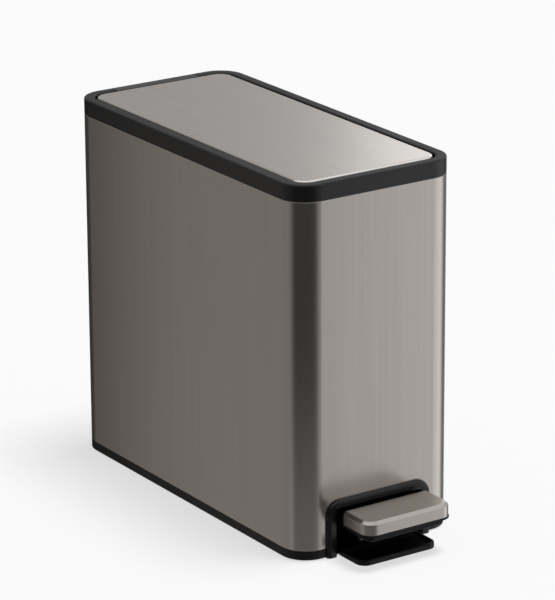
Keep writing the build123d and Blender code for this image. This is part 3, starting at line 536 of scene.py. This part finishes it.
# The vector comes in already stretched, in grains across and long strokes along.
def brushed_group():
    """Vector in. Stroke is one scratch, Band a bundle of them, Cloud the sheet's unevenness."""
    group, start, end = effect_group("brushed_grain", [("Vector", None)], ["Stroke", "Band", "Cloud"])
    vector = start.outputs["Vector"]
    join(group, noise(group, vector, 1.0, STROKE_DETAIL, roughness=0.72), end.inputs["Stroke"])
    bundle = noise(group, vector, 0.16, roughness=0.6)
    join(group, rise(group, bundle, 0.25, 0.75), end.inputs["Band"])
    join(group, noise(group, vector, 0.016), end.inputs["Cloud"])
    return group


# %% [markdown]
# A mould for plastic is spark eroded, which covers its wall in small round craters, and the
# plastic takes their shape. A smooth Voronoi texture gives the craters, and a finer noise
# keeps them from looking like a pattern.

# %% Moulded grain
def moulded_group():
    """Vector and Pitch, in grains per metre, in. Grain is the skin, Flow the melt's shading."""
    inputs = [("Vector", None), ("Pitch", 900.0)]
    group, start, end = effect_group("moulded_grain", inputs, ["Grain", "Flow"])
    vector, pitch = start.outputs["Vector"], start.outputs["Pitch"]
    craters = new_node(group, "ShaderNodeTexVoronoi", feature="SMOOTH_F1", Smoothness=0.6)
    join(group, vector, craters.inputs["Vector"])
    join(group, pitch, craters.inputs["Scale"])
    fine = noise(group, vector, maths(group, "MULTIPLY", pitch, 1.7), roughness=0.6)
    join(group, both(group, craters.outputs["Distance"], 0.6, fine, 0.5), end.inputs["Grain"])
    join(group, noise(group, vector, 14.0, detail=3.0, roughness=0.55), end.inputs["Flow"])
    return group


# %% [markdown]
# Edges are rubbed first, by cloths, hands and shoes. A bevel node looks round each point,
# and where the rounded normal differs from the true one, an outer or inner edge is near. A
# noise breaks the rubbed line up. No pressed or moulded edge is a knife edge, so the
# rounded normal is handed on as well.

# %% Rubbed edges
def edge_group():
    """Vector and Reach, in metres, in. Edge is 1 on a sharp edge and falls off over the reach."""
    inputs = [("Vector", None), ("Reach", 0.0006)]
    group, start, end = effect_group("rubbed_edge", inputs, ["Edge"], normals=["Rounded"])
    rounded = new_node(group, "ShaderNodeBevel", samples=4)
    join(group, start.outputs["Reach"], rounded.inputs["Radius"])
    flat = new_node(group, "ShaderNodeNewGeometry")
    alike = new_node(group, "ShaderNodeVectorMath", operation="DOT_PRODUCT")
    join(group, rounded.outputs["Normal"], alike.inputs[0])
    join(group, flat.outputs["Normal"], alike.inputs[1])
    near = fall(group, alike.outputs["Value"], 0.80, 0.995)
    patchy = noise(group, start.outputs["Vector"], 160.0, detail=4.0, roughness=0.65)
    broken = span(group, patchy, 0.15, 1.0, start=0.35, end=0.65)
    join(group, maths(group, "MULTIPLY", near, broken), end.inputs["Edge"])
    join(group, rounded.outputs["Normal"], end.inputs["Rounded"])
    return group


# %% [markdown]
# Hands and cloths leave a thin film, which lies in soft patches with wiped gaps, and dust
# settles as fine specks. Two noises of different size, one inside the other, give the film.

# %% Handling marks
def handling_group():
    """Vector in. Smudge is the film that hands and cloths leave, and Speck is fine dust."""
    group, start, end = effect_group("handling", [("Vector", None)], ["Smudge", "Speck"])
    vector = start.outputs["Vector"]
    patches = rise(group, noise(group, vector, 9.0, detail=3.0, roughness=0.6), 0.45, 0.75)
    streaks = noise(group, vector, 45.0, detail=3.0, roughness=0.7)
    wiped = span(group, streaks, 0.4, 1.0, start=0.3, end=0.7)
    join(group, maths(group, "MULTIPLY", patches, wiped), end.inputs["Smudge"])
    dust = noise(group, vector, 1400.0, detail=1.0)
    join(group, rise(group, dust, 0.70, 0.78), end.inputs["Speck"])
    return group


BRUSHED, MOULDED, EDGES, HANDLING = brushed_group(), moulded_group(), edge_group(), handling_group()
print("shader groups:", [group.name for group in (BRUSHED, MOULDED, EDGES, HANDLING)])


# %% Use the groups in a material
def effect(tree, group, vector, **values):
    """Places a shader group on this vector, and gives its output sockets."""
    node = new_node(tree, "ShaderNodeGroup", node_tree=group)
    join(tree, vector, node.inputs["Vector"])
    for name, value in values.items():
        node.inputs[name].default_value = value
    return node.outputs


def start_finish(name):
    """A new material, its tree, its Principled shader and the piece's own coordinates."""
    material = bpy.data.materials.new(name)
    material.use_nodes = True
    tree = material.node_tree
    where = new_node(tree, "ShaderNodeTexCoord")
    return material, tree, tree.nodes["Principled BSDF"], where.outputs["Object"]


def facing_axes(tree):
    """The X, Y and Z of the way that the surface faces, on the piece's own axes."""
    return axes_of(tree, new_node(tree, "ShaderNodeTexCoord").outputs["Normal"])


def stretch(tree, place, scale):
    """The piece's coordinates, stretched by a scale along each axis."""
    mapping = new_node(tree, "ShaderNodeMapping")
    mapping.inputs["Scale"].default_value = scale
    join(tree, place, mapping.inputs["Vector"])
    return mapping.outputs[0]


def dent(tree, shader, height, depth, surface=None):
    """Bumps the shader's surface by a height mask, depth metres deep."""
    bump = new_node(tree, "ShaderNodeBump", Distance=depth)
    join(tree, height, bump.inputs["Height"])
    if surface is not None:
        join(tree, surface, bump.inputs["Normal"])
    join(tree, bump.outputs[0], shader.inputs["Normal"])


# %% [markdown]
# ## Satin steel
#
# The sleeve, the lid and the pedal's cap are stainless sheet, brushed and then coated so
# that fingers don't show. Brushing leaves strokes a few hundredths of a millimetre wide and
# some centimetres long, which gather in faint bands. The strokes stand upright on the
# sleeve and run along the lid, and only one short and one long axis are needed for that.
#
# The strokes run out over the lid's short ends, and there the rolled rim gets a painted
# highlight: its colour is raised to nearly white, while the long sides keep their grain.
# The surface's own normal finds that rim, because an edge mask would miss so large a rounding.
#
# A sleeve is one strip, bent round and welded behind, so a fine seam runs down its back.

# %% Make the satin steels
STEEL_DARK, STEEL_LIGHT = (0.530, 0.494, 0.463), (0.590, 0.552, 0.518)
# The middle colour on the next line is a painted highlight for the lid's rolled rim
STEEL_RUBBED, STEEL_PAINTED_HIGHLIGHT, STEEL_SEAM = (0.66, 0.63, 0.60), (0.98, 0.96, 0.93), (0.47, 0.44, 0.41)
ACROSS, ALONG = 1500, 22  # strokes in a metre, across the grain and along it
BAND_SHARE, STROKE_SHARE = 0.45, 0.55
RUBBED_SHARE = 0.35
SATIN = (0.19, 0.26)  # roughness, from a stroke's floor to its crest
FILM_DULLS, CLOUD_DULLS, SEAM_DULLS = 0.035, 0.03, 0.12
STROKE_DEPTH = 0.004 * MM
SEAM_STROKES_DEEP = 2.0
SEAM_FADES = (0.6 * MM, 1.1 * MM)  # from the seam's middle line
# A level face has 1 as the upright part of its normal, and one that looks sideways has 0
RIM_STEEP, RIM_LEVEL = 0.80, 0.99
SIDE_FACING, END_FACING = 0.02, 0.25


def painted_rim_highlight(tree):
    """The painted highlight's mask: the rolled rim at the short ends of a level sheet."""
    _, along, up = facing_axes(tree)
    rolled = fall(tree, maths(tree, "ABSOLUTE", up), RIM_STEEP, RIM_LEVEL)
    at_the_ends = rise(tree, maths(tree, "ABSOLUTE", along), SIDE_FACING, END_FACING)
    return maths(tree, "MULTIPLY", rolled, at_the_ends)


def weld_seam(tree, place, behind):
    """A mask for a narrow upright line, in the middle of the wall that lies behind this Y."""
    x, y, _ = axes_of(tree, place)
    close = fall(tree, maths(tree, "ABSOLUTE", x), *SEAM_FADES)
    return maths(tree, "MULTIPLY", close, maths(tree, "GREATER_THAN", y, behind))


def satin_steel(name, grain_axis, rounding, seam_behind=None, paint_rim_highlight=False):
    """Brushed steel with strokes along grain_axis and edges rounded in metres.

    A seam may close it behind, and a rolled rim round the top may get a painted highlight.
    """
    material, tree, shader, place = start_finish(name)
    shader.inputs["Metallic"].default_value = 1.0
    strokes = [ALONG if axis == grain_axis else ACROSS for axis in "XYZ"]
    grain = effect(tree, BRUSHED, stretch(tree, place, strokes))
    marks = effect(tree, HANDLING, place)
    edges = effect(tree, EDGES, place, Reach=rounding)
    shade = both(tree, grain["Band"], BAND_SHARE, grain["Stroke"], STROKE_SHARE)
    colour = tint(tree, shade, STEEL_DARK, STEEL_LIGHT)
    rubbed = maths(tree, "MULTIPLY", edges["Edge"], RUBBED_SHARE)
    colour = tint(tree, rubbed, colour, STEEL_RUBBED)
    # Painted highlight: the rolled rim's colour is raised to nearly white
    if paint_rim_highlight:
        colour = tint(tree, painted_rim_highlight(tree), colour, STEEL_PAINTED_HIGHLIGHT)
    gloss = span(tree, grain["Stroke"], *SATIN)
    gloss = plus(tree, gloss, marks["Smudge"], FILM_DULLS)
    gloss = plus(tree, gloss, grain["Cloud"], CLOUD_DULLS)
    height = grain["Stroke"]
    if seam_behind is not None:
        seam = weld_seam(tree, place, seam_behind)
        colour = tint(tree, seam, colour, STEEL_SEAM)
        gloss = plus(tree, gloss, seam, SEAM_DULLS)
        height = plus(tree, height, seam, -SEAM_STROKES_DEEP)
    join(tree, colour, shader.inputs["Base Color"])
    join(tree, gloss, shader.inputs["Roughness"])
    dent(tree, shader, height, STROKE_DEPTH, edges["Rounded"])
    return material


sleeve_steel = satin_steel("sleeve_steel", "Z", 0.5 * MM, seam_behind=sleeve_high.y - 1 * MM)
# The lid's rolled rim gets the painted highlight
lid_steel = satin_steel("lid_steel", "Y", 1.6 * MM, paint_rim_highlight=True)
pedal_steel = satin_steel("pedal_steel", "X", 0.7 * MM)
stroke_widths = [round(1000 / ACROSS / 2 ** step, 2) for step in (0, STROKE_DETAIL)]
print("strokes are", stroke_widths, "mm wide and", round(1000 / ALONG), "mm long")

# %% [markdown]
# ## Mouldings
#
# The collar, base, bezel and pedal core are moulded black plastic. The plastic is black all
# through, so almost all that shows of it is gloss: the base colour is nearly nothing, and
# the roughness does the work. Corners that are brushed past or stepped on are rubbed
# smoother and a little paler, and a level top that is wiped often is rubbed duller.

# %% Make the mouldings
BLACK = ((0.0032, 0.0032, 0.0034), (0.0050, 0.0050, 0.0052))
UNDERSIDE_BLACK = ((0.0045, 0.0045, 0.0048), (0.0075, 0.0075, 0.0078))
BEZEL_BLACK = ((0.0022, 0.0022, 0.0024), (0.0034, 0.0034, 0.0036))
DAMPER_BLACK = ((0.018, 0.018, 0.019), (0.026, 0.026, 0.028))
CHANNEL_GREY = ((0.085, 0.085, 0.089), (0.115, 0.115, 0.120))
BUCKET_GREY = ((0.055, 0.056, 0.058), (0.075, 0.076, 0.079))
BLACK_WORN, BUCKET_WORN = (0.03, 0.03, 0.031), (0.11, 0.11, 0.112)
POLISH = -0.10  # roughness that full rubbing takes off
PITCH = 1100.0  # grains in a metre
FLOW_SPREAD = (0.3, 0.7)  # the melt's shading seldom leaves this range
LOOKS_UP = (0.5, 0.95)  # upright part of the normal, from a slope to a level face


def moulding(name, shades, gloss, pitch=PITCH, grain_depth=0.01 * MM, rubbed=0.0,
             rounding=0.7 * MM, worn=BLACK_WORN, film=0.04, shine=0.5, dulled=0.0):
    """Moulded plastic: two close shades, a range of roughness, a grain and rubbed edges.

    A face that looks up can be dulled, which adds this much to its roughness.
    """
    material, tree, shader, place = start_finish(name)
    shader.inputs["Specular IOR Level"].default_value = shine
    grain = effect(tree, MOULDED, place, Pitch=pitch)
    marks = effect(tree, HANDLING, place)
    colour = tint(tree, grain["Flow"], *shades)
    roughness = span(tree, grain["Flow"], *gloss, *FLOW_SPREAD)
    edges = effect(tree, EDGES, place, Reach=rounding)
    colour = tint(tree, maths(tree, "MULTIPLY", edges["Edge"], rubbed), colour, worn)
    roughness = plus(tree, roughness, edges["Edge"], POLISH * rubbed)
    roughness = plus(tree, roughness, marks["Smudge"], film)
    if dulled:
        _, _, up = facing_axes(tree)
        level = span(tree, up, 0.0, dulled, *LOOKS_UP, smooth=True)
        roughness = maths(tree, "ADD", roughness, level)
    join(tree, colour, shader.inputs["Base Color"])
    join(tree, roughness, shader.inputs["Roughness"])
    dent(tree, shader, grain["Grain"], grain_depth, edges["Rounded"])
    return material


collar_black = moulding(
    "collar_black", BLACK, (0.33, 0.42), rubbed=0.35, rounding=1.5 * MM, dulled=0.25)
base_black = moulding("base_black", BLACK, (0.33, 0.42), rubbed=0.35, shine=0.3)
frame_black = moulding("frame_black", UNDERSIDE_BLACK, (0.38, 0.50), rubbed=0.25)
tread_black = moulding(
    "tread_black", BLACK, (0.40, 0.52), pitch=700.0, grain_depth=0.02 * MM, rubbed=0.5, shine=0.2)
gloss_black = moulding(
    "gloss_black", BEZEL_BLACK, (0.20, 0.27), pitch=1800.0, grain_depth=0.003 * MM, rubbed=0.2,
    film=0.06, shine=0.4)
channel_grey = moulding("channel_grey", CHANNEL_GREY, (0.42, 0.54))
bucket_grey = moulding(
    "bucket_grey", BUCKET_GREY, (0.36, 0.50), pitch=500.0, grain_depth=0.02 * MM, rubbed=0.3,
    worn=BUCKET_WORN)
damper_black = moulding(
    "damper_black", DAMPER_BLACK, (0.15, 0.24), pitch=2200.0, grain_depth=0.002 * MM)
print("mouldings: the grain is", round(1000 / PITCH, 2), "mm, and finer on the bezel")

# %% [markdown]
# ## Acetal and rubber
#
# Acetal is the white, waxy plastic of bushes and sliders. Light goes a little way into it,
# so it gets some subsurface scattering. Rubber is the opposite: it drinks light, and shows
# a bloom of dust on its skin.

# %% Make acetal and rubber
ACETAL_DARK, ACETAL_LIGHT = (0.70, 0.68, 0.62), (0.78, 0.77, 0.72)
ACETAL_GLOSS, ACETAL_GLOW = (0.28, 0.40), 0.25
ACETAL_REACH = (2.0 * MM, 1.8 * MM, 1.4 * MM)  # of red, green and blue light
RUBBER_DARK, RUBBER_LIGHT = (0.012, 0.012, 0.012), (0.024, 0.023, 0.022)
RUBBER_GLOSS = (0.70, 0.92)
BLOOM, BLOOM_SHARE = (0.10, 0.095, 0.09), 0.5


def acetal(name):
    """Natural acetal: waxy, creamy white and slightly see-through."""
    material, tree, shader, place = start_finish(name)
    grain = effect(tree, MOULDED, place, Pitch=1600.0)
    colour = tint(tree, grain["Flow"], ACETAL_DARK, ACETAL_LIGHT)
    join(tree, colour, shader.inputs["Base Color"])
    join(tree, span(tree, grain["Flow"], *ACETAL_GLOSS), shader.inputs["Roughness"])
    shader.inputs["Subsurface Weight"].default_value = ACETAL_GLOW
    shader.inputs["Subsurface Radius"].default_value = ACETAL_REACH
    dent(tree, shader, grain["Grain"], 0.004 * MM)
    return material


def rubber(name):
    """Matt black rubber with a grey bloom and specks of dust."""
    material, tree, shader, place = start_finish(name)
    grain = effect(tree, MOULDED, place, Pitch=1300.0)
    marks = effect(tree, HANDLING, place)
    colour = tint(tree, grain["Flow"], RUBBER_DARK, RUBBER_LIGHT)
    colour = tint(tree, maths(tree, "MULTIPLY", marks["Speck"], BLOOM_SHARE), colour, BLOOM)
    join(tree, colour, shader.inputs["Base Color"])
    join(tree, span(tree, grain["Grain"], *RUBBER_GLOSS), shader.inputs["Roughness"])
    dent(tree, shader, grain["Grain"], 0.03 * MM)
    return material


white_acetal = acetal("white_acetal")
black_rubber = rubber("black_rubber")
print("red light reaches", round(ACETAL_REACH[0] / MM, 1), "mm into the acetal")

# %% [markdown]
# ## Steel that nobody sees
#
# The lever and push rod are mild steel under bright zinc, which grows in small crystals and
# has a cool cast. Pins are drawn bright, with faint rings from the lathe. Spring clips are
# blued dark. They share one recipe: a metal with a mottle, a stroke and rubbed edges.

# %% Make the plated and drawn metals
ZINC = ((0.50, 0.51, 0.53), (0.64, 0.65, 0.66))
DRAWN = ((0.60, 0.60, 0.60), (0.70, 0.70, 0.69))
BLUED = ((0.10, 0.105, 0.12), (0.17, 0.175, 0.19))
SCREW_ZINC = ((0.46, 0.47, 0.48), (0.60, 0.61, 0.62))
METAL_WORN, BLUED_WORN = (0.62, 0.62, 0.62), (0.34, 0.34, 0.35)


def plated(name, shades, gloss, crystals, strokes=(400, 400, 30), rubbed=0.4, worn=METAL_WORN):
    """A metal with crystals and strokes, both per metre, rubbed bright on its edges."""
    material, tree, shader, place = start_finish(name)
    shader.inputs["Metallic"].default_value = 1.0
    grain = effect(tree, BRUSHED, stretch(tree, place, strokes))
    mottle = new_node(tree, "ShaderNodeTexVoronoi", Scale=crystals)
    join(tree, place, mottle.inputs["Vector"])
    shade = both(tree, mottle.outputs["Distance"], 0.5, grain["Band"], 0.5)
    edges = effect(tree, EDGES, place, Reach=0.4 * MM)
    bright = maths(tree, "MULTIPLY", edges["Edge"], rubbed)
    colour = tint(tree, bright, tint(tree, shade, *shades), worn)
    join(tree, colour, shader.inputs["Base Color"])
    join(tree, span(tree, shade, *gloss), shader.inputs["Roughness"])
    dent(tree, shader, grain["Stroke"], 0.006 * MM, edges["Rounded"])
    return material


lever_zinc = plated("lever_zinc", ZINC, (0.24, 0.42), 220.0, (400, 20, 400))
rod_zinc = plated("rod_zinc", ZINC, (0.20, 0.34), 220.0, (500, 500, 20))
pin_steel = plated("pin_steel", DRAWN, (0.10, 0.20), 300.0, (900, 60, 60))
spring_steel = plated("spring_steel", BLUED, (0.28, 0.42), 400.0, worn=BLUED_WORN)
screw_zinc = plated("screw_zinc", SCREW_ZINC, (0.22, 0.38), 500.0, (600, 600, 600))
METALS = (lever_zinc, rod_zinc, pin_steel, spring_steel, screw_zinc)
print("hidden metals:", [metal.name for metal in METALS])

# %% [markdown]
# ## The finishes go on
#
# A piece's finish is a material in its first slot. The pieces of the frame come with plain
# colours there, which are cleared first, so that nothing plain is left showing.

# %% Give each node its finish
FINISHES = {
    sleeve_steel: ["body_shell"],
    lid_steel: ["lid_panel"],
    pedal_steel: ["pedal_cap"],
    collar_black: ["collar"],
    base_black: ["base_tray"],
    frame_black: ["lid_frame"],
    tread_black: ["foot_plate", "pedal_core"],
    gloss_black: ["pedal_bezel"],
    channel_grey: ["rod_channel"],
    bucket_grey: ["inner_bucket"],
    damper_black: ["damper_tube", "damper_caps"],
    white_acetal: ["rod_shoe", "damper_piston", "pivot_bushes"],
    lever_zinc: ["pedal_lever"],
    rod_zinc: ["push_rod"],
    pin_steel: ["pedal_axle", "hinge_pins", "cross_pin"],
    spring_steel: ["axle_clips", "cross_pin_clips"],
    screw_zinc: ["foot_plate_screws", "channel_screws", "pedal_screws"],
    black_rubber: ["rubber_feet", "lid_rest_pads", "lever_rest_pad"],
}
finished = set()
for finish, names in FINISHES.items():
    for name in names:
        nodes[name].data.materials.clear()
        nodes[name].data.materials.append(finish)
        finished.add(name)
print("nodes without a finish:", sorted(set(nodes) - finished))

# %% [markdown]
# ## Small turned pieces
#
# A machinist's model shows a screw as two plain cylinders and a rubber foot as a disc. Seen
# from below, or with the lid open, they need more: a driver's cross in each screw, a tread
# groove in each foot, a dome on each rest pad. Each new piece stands exactly where its
# plain node was, so the first job is to find the separate solids that a node is made of.

# %% Find the solids of a node
LOOSE_CORNERS = 0.01  # mm, within which the corners of a frame's mesh are the same


def solids(node):
    """The corners of each separate solid in a node, as lists of points in millimetres."""
    shape = bmesh.new()
    shape.from_mesh(nodes[node].data)
    bmesh.ops.remove_doubles(shape, verts=shape.verts, dist=LOOSE_CORNERS * MM)
    found, seen = [], set()
    for first in shape.verts:
        if first in seen:
            continue
        seen.add(first)
        island, waiting = [], [first]
        while waiting:
            corner = waiting.pop()
            island.append(corner.co / MM)
            for edge in corner.link_edges:
                other = edge.other_vert(corner)
                if other not in seen:
                    seen.add(other)
                    waiting.append(other)
        found.append(island)
    shape.free()
    return found


def extent_of(points):
    """The lowest and highest corner of some points, and the middle between them."""
    low = Vector([min(point[axis] for point in points) for axis in range(3)])
    high = Vector([max(point[axis] for point in points) for axis in range(3)])
    return low, high, (low + high) / 2


# %% Turn a bmesh into a finished piece
SHARP_ANGLE = radians(35)
SAME_CORNER = 0.001  # mm


def finish_piece(name, shape, finish, node, body):
    """Turns a bmesh in millimetres into a piece that stands for a node and rides on its body."""
    bmesh.ops.remove_doubles(shape, verts=shape.verts, dist=SAME_CORNER)
    bmesh.ops.recalc_face_normals(shape, faces=shape.faces)
    bmesh.ops.scale(shape, vec=(MM, MM, MM), verts=shape.verts)
    for face in shape.faces:
        face.smooth = True
    mesh = bpy.data.meshes.new(name)
    shape.to_mesh(mesh)
    shape.free()
    mesh.set_sharp_from_angle(angle=SHARP_ANGLE)
    mesh.materials.append(finish)
    piece = bpy.data.objects.new(name, mesh)
    bpy.context.scene.collection.objects.link(piece)
    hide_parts(node)
    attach(piece, body)
    print(name, "faces:", len(mesh.polygons))
    return piece


# %% [markdown]
# A turned piece is a profile of (radius, height) points, swept once round its axis. The
# spin operator does that. It is told to merge the last step with the first, and the points
# on the axis are merged afterwards, so that no seam or pole is left open.

# %% Turn rubber feet and rest pads
TURNING_STEPS = 48
FOOT_HOLLOW = 0.30  # of the foot's radius and of its height
FOOT_LIP = 0.36  # of its radius, where the hollow comes down to the floor
FOOT_GROOVE, GROOVE_STEP = 0.62, 0.4  # of its radius, and mm
FOOT_RIM, RIM_CORNER = 0.35, 0.3  # of its height, and of the rim
FOOT_CHAMFER = 0.2  # mm
PAD_WALL = 0.4  # of the pad's height
DOME_STEPS = 6


def turn_into(shape, profile, centre, height):
    """Adds a turned form to the bmesh, with its axis upright through centre, at this height."""
    start = Vector((centre.x, centre.y, height))
    corners = [shape.verts.new(start + Vector((radius, 0, level))) for radius, level in profile]
    edges = [shape.edges.new(pair) for pair in zip(corners, corners[1:])]
    bmesh.ops.spin(shape, geom=corners + edges, cent=start, axis=(0, 0, 1), angle=tau,
                   steps=TURNING_STEPS, use_merge=True, use_duplicate=False)


def foot_profile(radius, height):
    """A foot with a hollow centre, one tread groove and a rounded rim, from its middle out."""
    groove, rim, hollow = FOOT_GROOVE * radius, FOOT_RIM * height, FOOT_HOLLOW * height
    middle = [(0, hollow), (FOOT_HOLLOW * radius, hollow), (FOOT_LIP * radius, 0)]
    tread = [(groove - GROOVE_STEP, 0), (groove, rim), (groove + GROOVE_STEP, rim),
             (groove + 2 * GROOVE_STEP, 0)]
    corner = RIM_CORNER * rim
    outside = [(radius - rim, 0), (radius - corner, corner), (radius, rim)]
    top = [(radius, height - FOOT_CHAMFER), (radius - FOOT_CHAMFER, height), (0, height)]
    return middle + tread + outside + top


def pad_profile(radius, height):
    """A low dome on a straight wall."""
    turns = [tau / 4 * step / DOME_STEPS for step in range(DOME_STEPS)]
    dome = [(radius * cos(turn), height * (PAD_WALL + (1 - PAD_WALL) * sin(turn))) for turn in turns]
    return [(0, 0), (radius, 0), *dome, (0, height)]


for name, node, profile in (("tread_feet", "rubber_feet", foot_profile),
                            ("domed_rest_pads", "lid_rest_pads", pad_profile)):
    shape = bmesh.new()
    for points in solids(node):
        low, high, middle = extent_of(points)
        radius, height = (high.x - low.x) / 2, high.z - low.z
        turn_into(shape, profile(radius, height), middle, low.z)
        print(node, "radius", round(radius, 2), "height", round(height, 2))
    finish_piece(name, shape, black_rubber, node, "root")

# %% [markdown]
# ## Cross-recess screws
#
# A screw is not round all over, because of its cross recess. So it starts as the outline of
# the cross, which is pushed down and drawn in for the recess. A round loop is bridged to
# the outline for the face of the head. The loop is then drawn out, down and in again for
# the head's wall, and stepped down the shank as a row of thread crests and roots. Rings
# stand in for the thread's spiral: a shank is hardly seen, and rings close without a seam.

# %% Measure the plain screws
NEAR_WALL = 0.05  # mm


def measure_screw(points):
    """Measures a plain screw, in the order that screw_into takes.

    That is its head's radius and height, its shank's radius, its length, whether it is turned
    over with its head below, and the middle of its head's face.
    """
    low, high, middle = extent_of(points)
    reach = [((point - middle).xy.length, point.z) for point in points]
    head = max(radius for radius, _ in reach)
    wall = [level for radius, level in reach if radius > head - NEAR_WALL]
    turned_over = abs(min(wall) - low.z) < abs(max(wall) - high.z)
    face = low.z if turned_over else high.z
    head_height = max(abs(level - face) for level in wall)
    length = high.z - low.z
    shank = max(radius for radius, level in reach if abs(level - face) > length / 2)
    return head, head_height, shank, length, turned_over, Vector((middle.x, middle.y, face))


# %% Model cross-recess screws
CROSS_ARM, CROSS_HALF_WIDTH = 0.58, 0.17  # of the head's radius
CROSS_DEPTH, CROSS_TAPER = 0.60, 0.6  # of the head's height, and of the cross's own size
FACE_RADIUS, CROWN = 0.80, 0.14  # of the head's radius and of its height
HEAD_PROFILE = [(0.94, 2.2 * CROWN), (1.0, 4 * CROWN), (1.0, 1.0)]  # shares, going down
THREAD_PITCH, THREAD_DEPTH, TIP_CHAMFER = 0.8, 0.22, 0.5  # mm
SCREW_SIDES = 32


def loop_where(part, kept):
    """The edges whose two corners both pass a test."""
    return [edge for edge in part.edges if all(kept(corner) for corner in edge.verts)]


def grow_loop(part, loop, radius, depth):
    """Extrudes a round loop of edges to a new radius and depth, and gives the new loop."""
    made = bmesh.ops.extrude_edge_only(part, edges=loop)["geom"]
    for corner in (piece for piece in made if isinstance(piece, bmesh.types.BMVert)):
        flat = Vector((corner.co.x, corner.co.y, 0)).normalized() * radius
        corner.co = Vector((flat.x, flat.y, -depth))
    return [piece for piece in made if isinstance(piece, bmesh.types.BMEdge)]


def cut_cross(part, head, head_height):
    """Starts a screw with its cross recess, and gives the loop round the recess's mouth."""
    arm, half = CROSS_ARM * head, CROSS_HALF_WIDTH * head
    outline = []
    for step in range(4):
        spun = Matrix.Rotation(-step * tau / 4, 2)
        outline += [spun @ Vector(point) for point in ((half, arm), (half, half), (arm, half))]
    cross = part.faces.new([part.verts.new((point.x, point.y, 0)) for point in outline])
    floor = bmesh.ops.extrude_discrete_faces(part, faces=[cross])["faces"][0]
    bmesh.ops.translate(part, vec=(0, 0, -CROSS_DEPTH * head_height), verts=list(floor.verts))
    bmesh.ops.scale(part, vec=(CROSS_TAPER, CROSS_TAPER, 1), verts=list(floor.verts))
    mouth = loop_where(part, lambda corner: corner.co.z == 0)
    bmesh.ops.bridge_loops(part, edges=mouth + list(floor.edges))
    return mouth


def screw_profile(head, head_height, shank, length):
    """The (radius, depth) steps of a screw, from below the face of its head to its tip."""
    steps = [(radius * head, depth * head_height) for radius, depth in HEAD_PROFILE]
    steps.append((shank, head_height))
    depth = head_height + THREAD_PITCH / 2
    while depth < length - THREAD_PITCH:
        steps += [(shank, depth), (shank - THREAD_DEPTH, depth + THREAD_PITCH / 2)]
        depth += THREAD_PITCH
    return steps + [(shank, length - TIP_CHAMFER), (shank - TIP_CHAMFER, length)]


def screw_into(shape, head, head_height, shank, length, turned_over, place):
    """Adds a screw with the face of its head at place. Its shank points up if turned over."""
    part = bmesh.new()
    mouth = cut_cross(part, head, head_height)
    ring = bmesh.ops.create_circle(part, segments=SCREW_SIDES, radius=FACE_RADIUS * head)["verts"]
    bmesh.ops.translate(part, vec=(0, 0, -CROWN * head_height), verts=ring)
    loop = loop_where(part, lambda corner: corner in ring)
    bmesh.ops.bridge_loops(part, edges=mouth + loop)
    for radius, depth in screw_profile(head, head_height, shank, length):
        loop = grow_loop(part, loop, radius, depth)
    bmesh.ops.contextual_create(part, geom=loop)
    if turned_over:
        over = Matrix.Rotation(tau / 2, 3, "X")
        bmesh.ops.rotate(part, cent=(0, 0, 0), matrix=over, verts=part.verts)
    bmesh.ops.translate(part, vec=place, verts=part.verts)
    mesh = bpy.data.meshes.new("one_screw")
    part.to_mesh(mesh)
    part.free()
    shape.from_mesh(mesh)
    bpy.data.meshes.remove(mesh)


for name, node, body in (("plate_cross_screws", "foot_plate_screws", "root"),
                         ("channel_cross_screws", "channel_screws", "root"),
                         ("pedal_cross_screws", "pedal_screws", "pedal")):
    shape = bmesh.new()
    for points in solids(node):
        measured = measure_screw(points)
        print(node, [round(value, 2) for value in measured[:4]], "turned over:", measured[4])
        screw_into(shape, *measured)
    finish_piece(name, shape, screw_zinc, node, body)
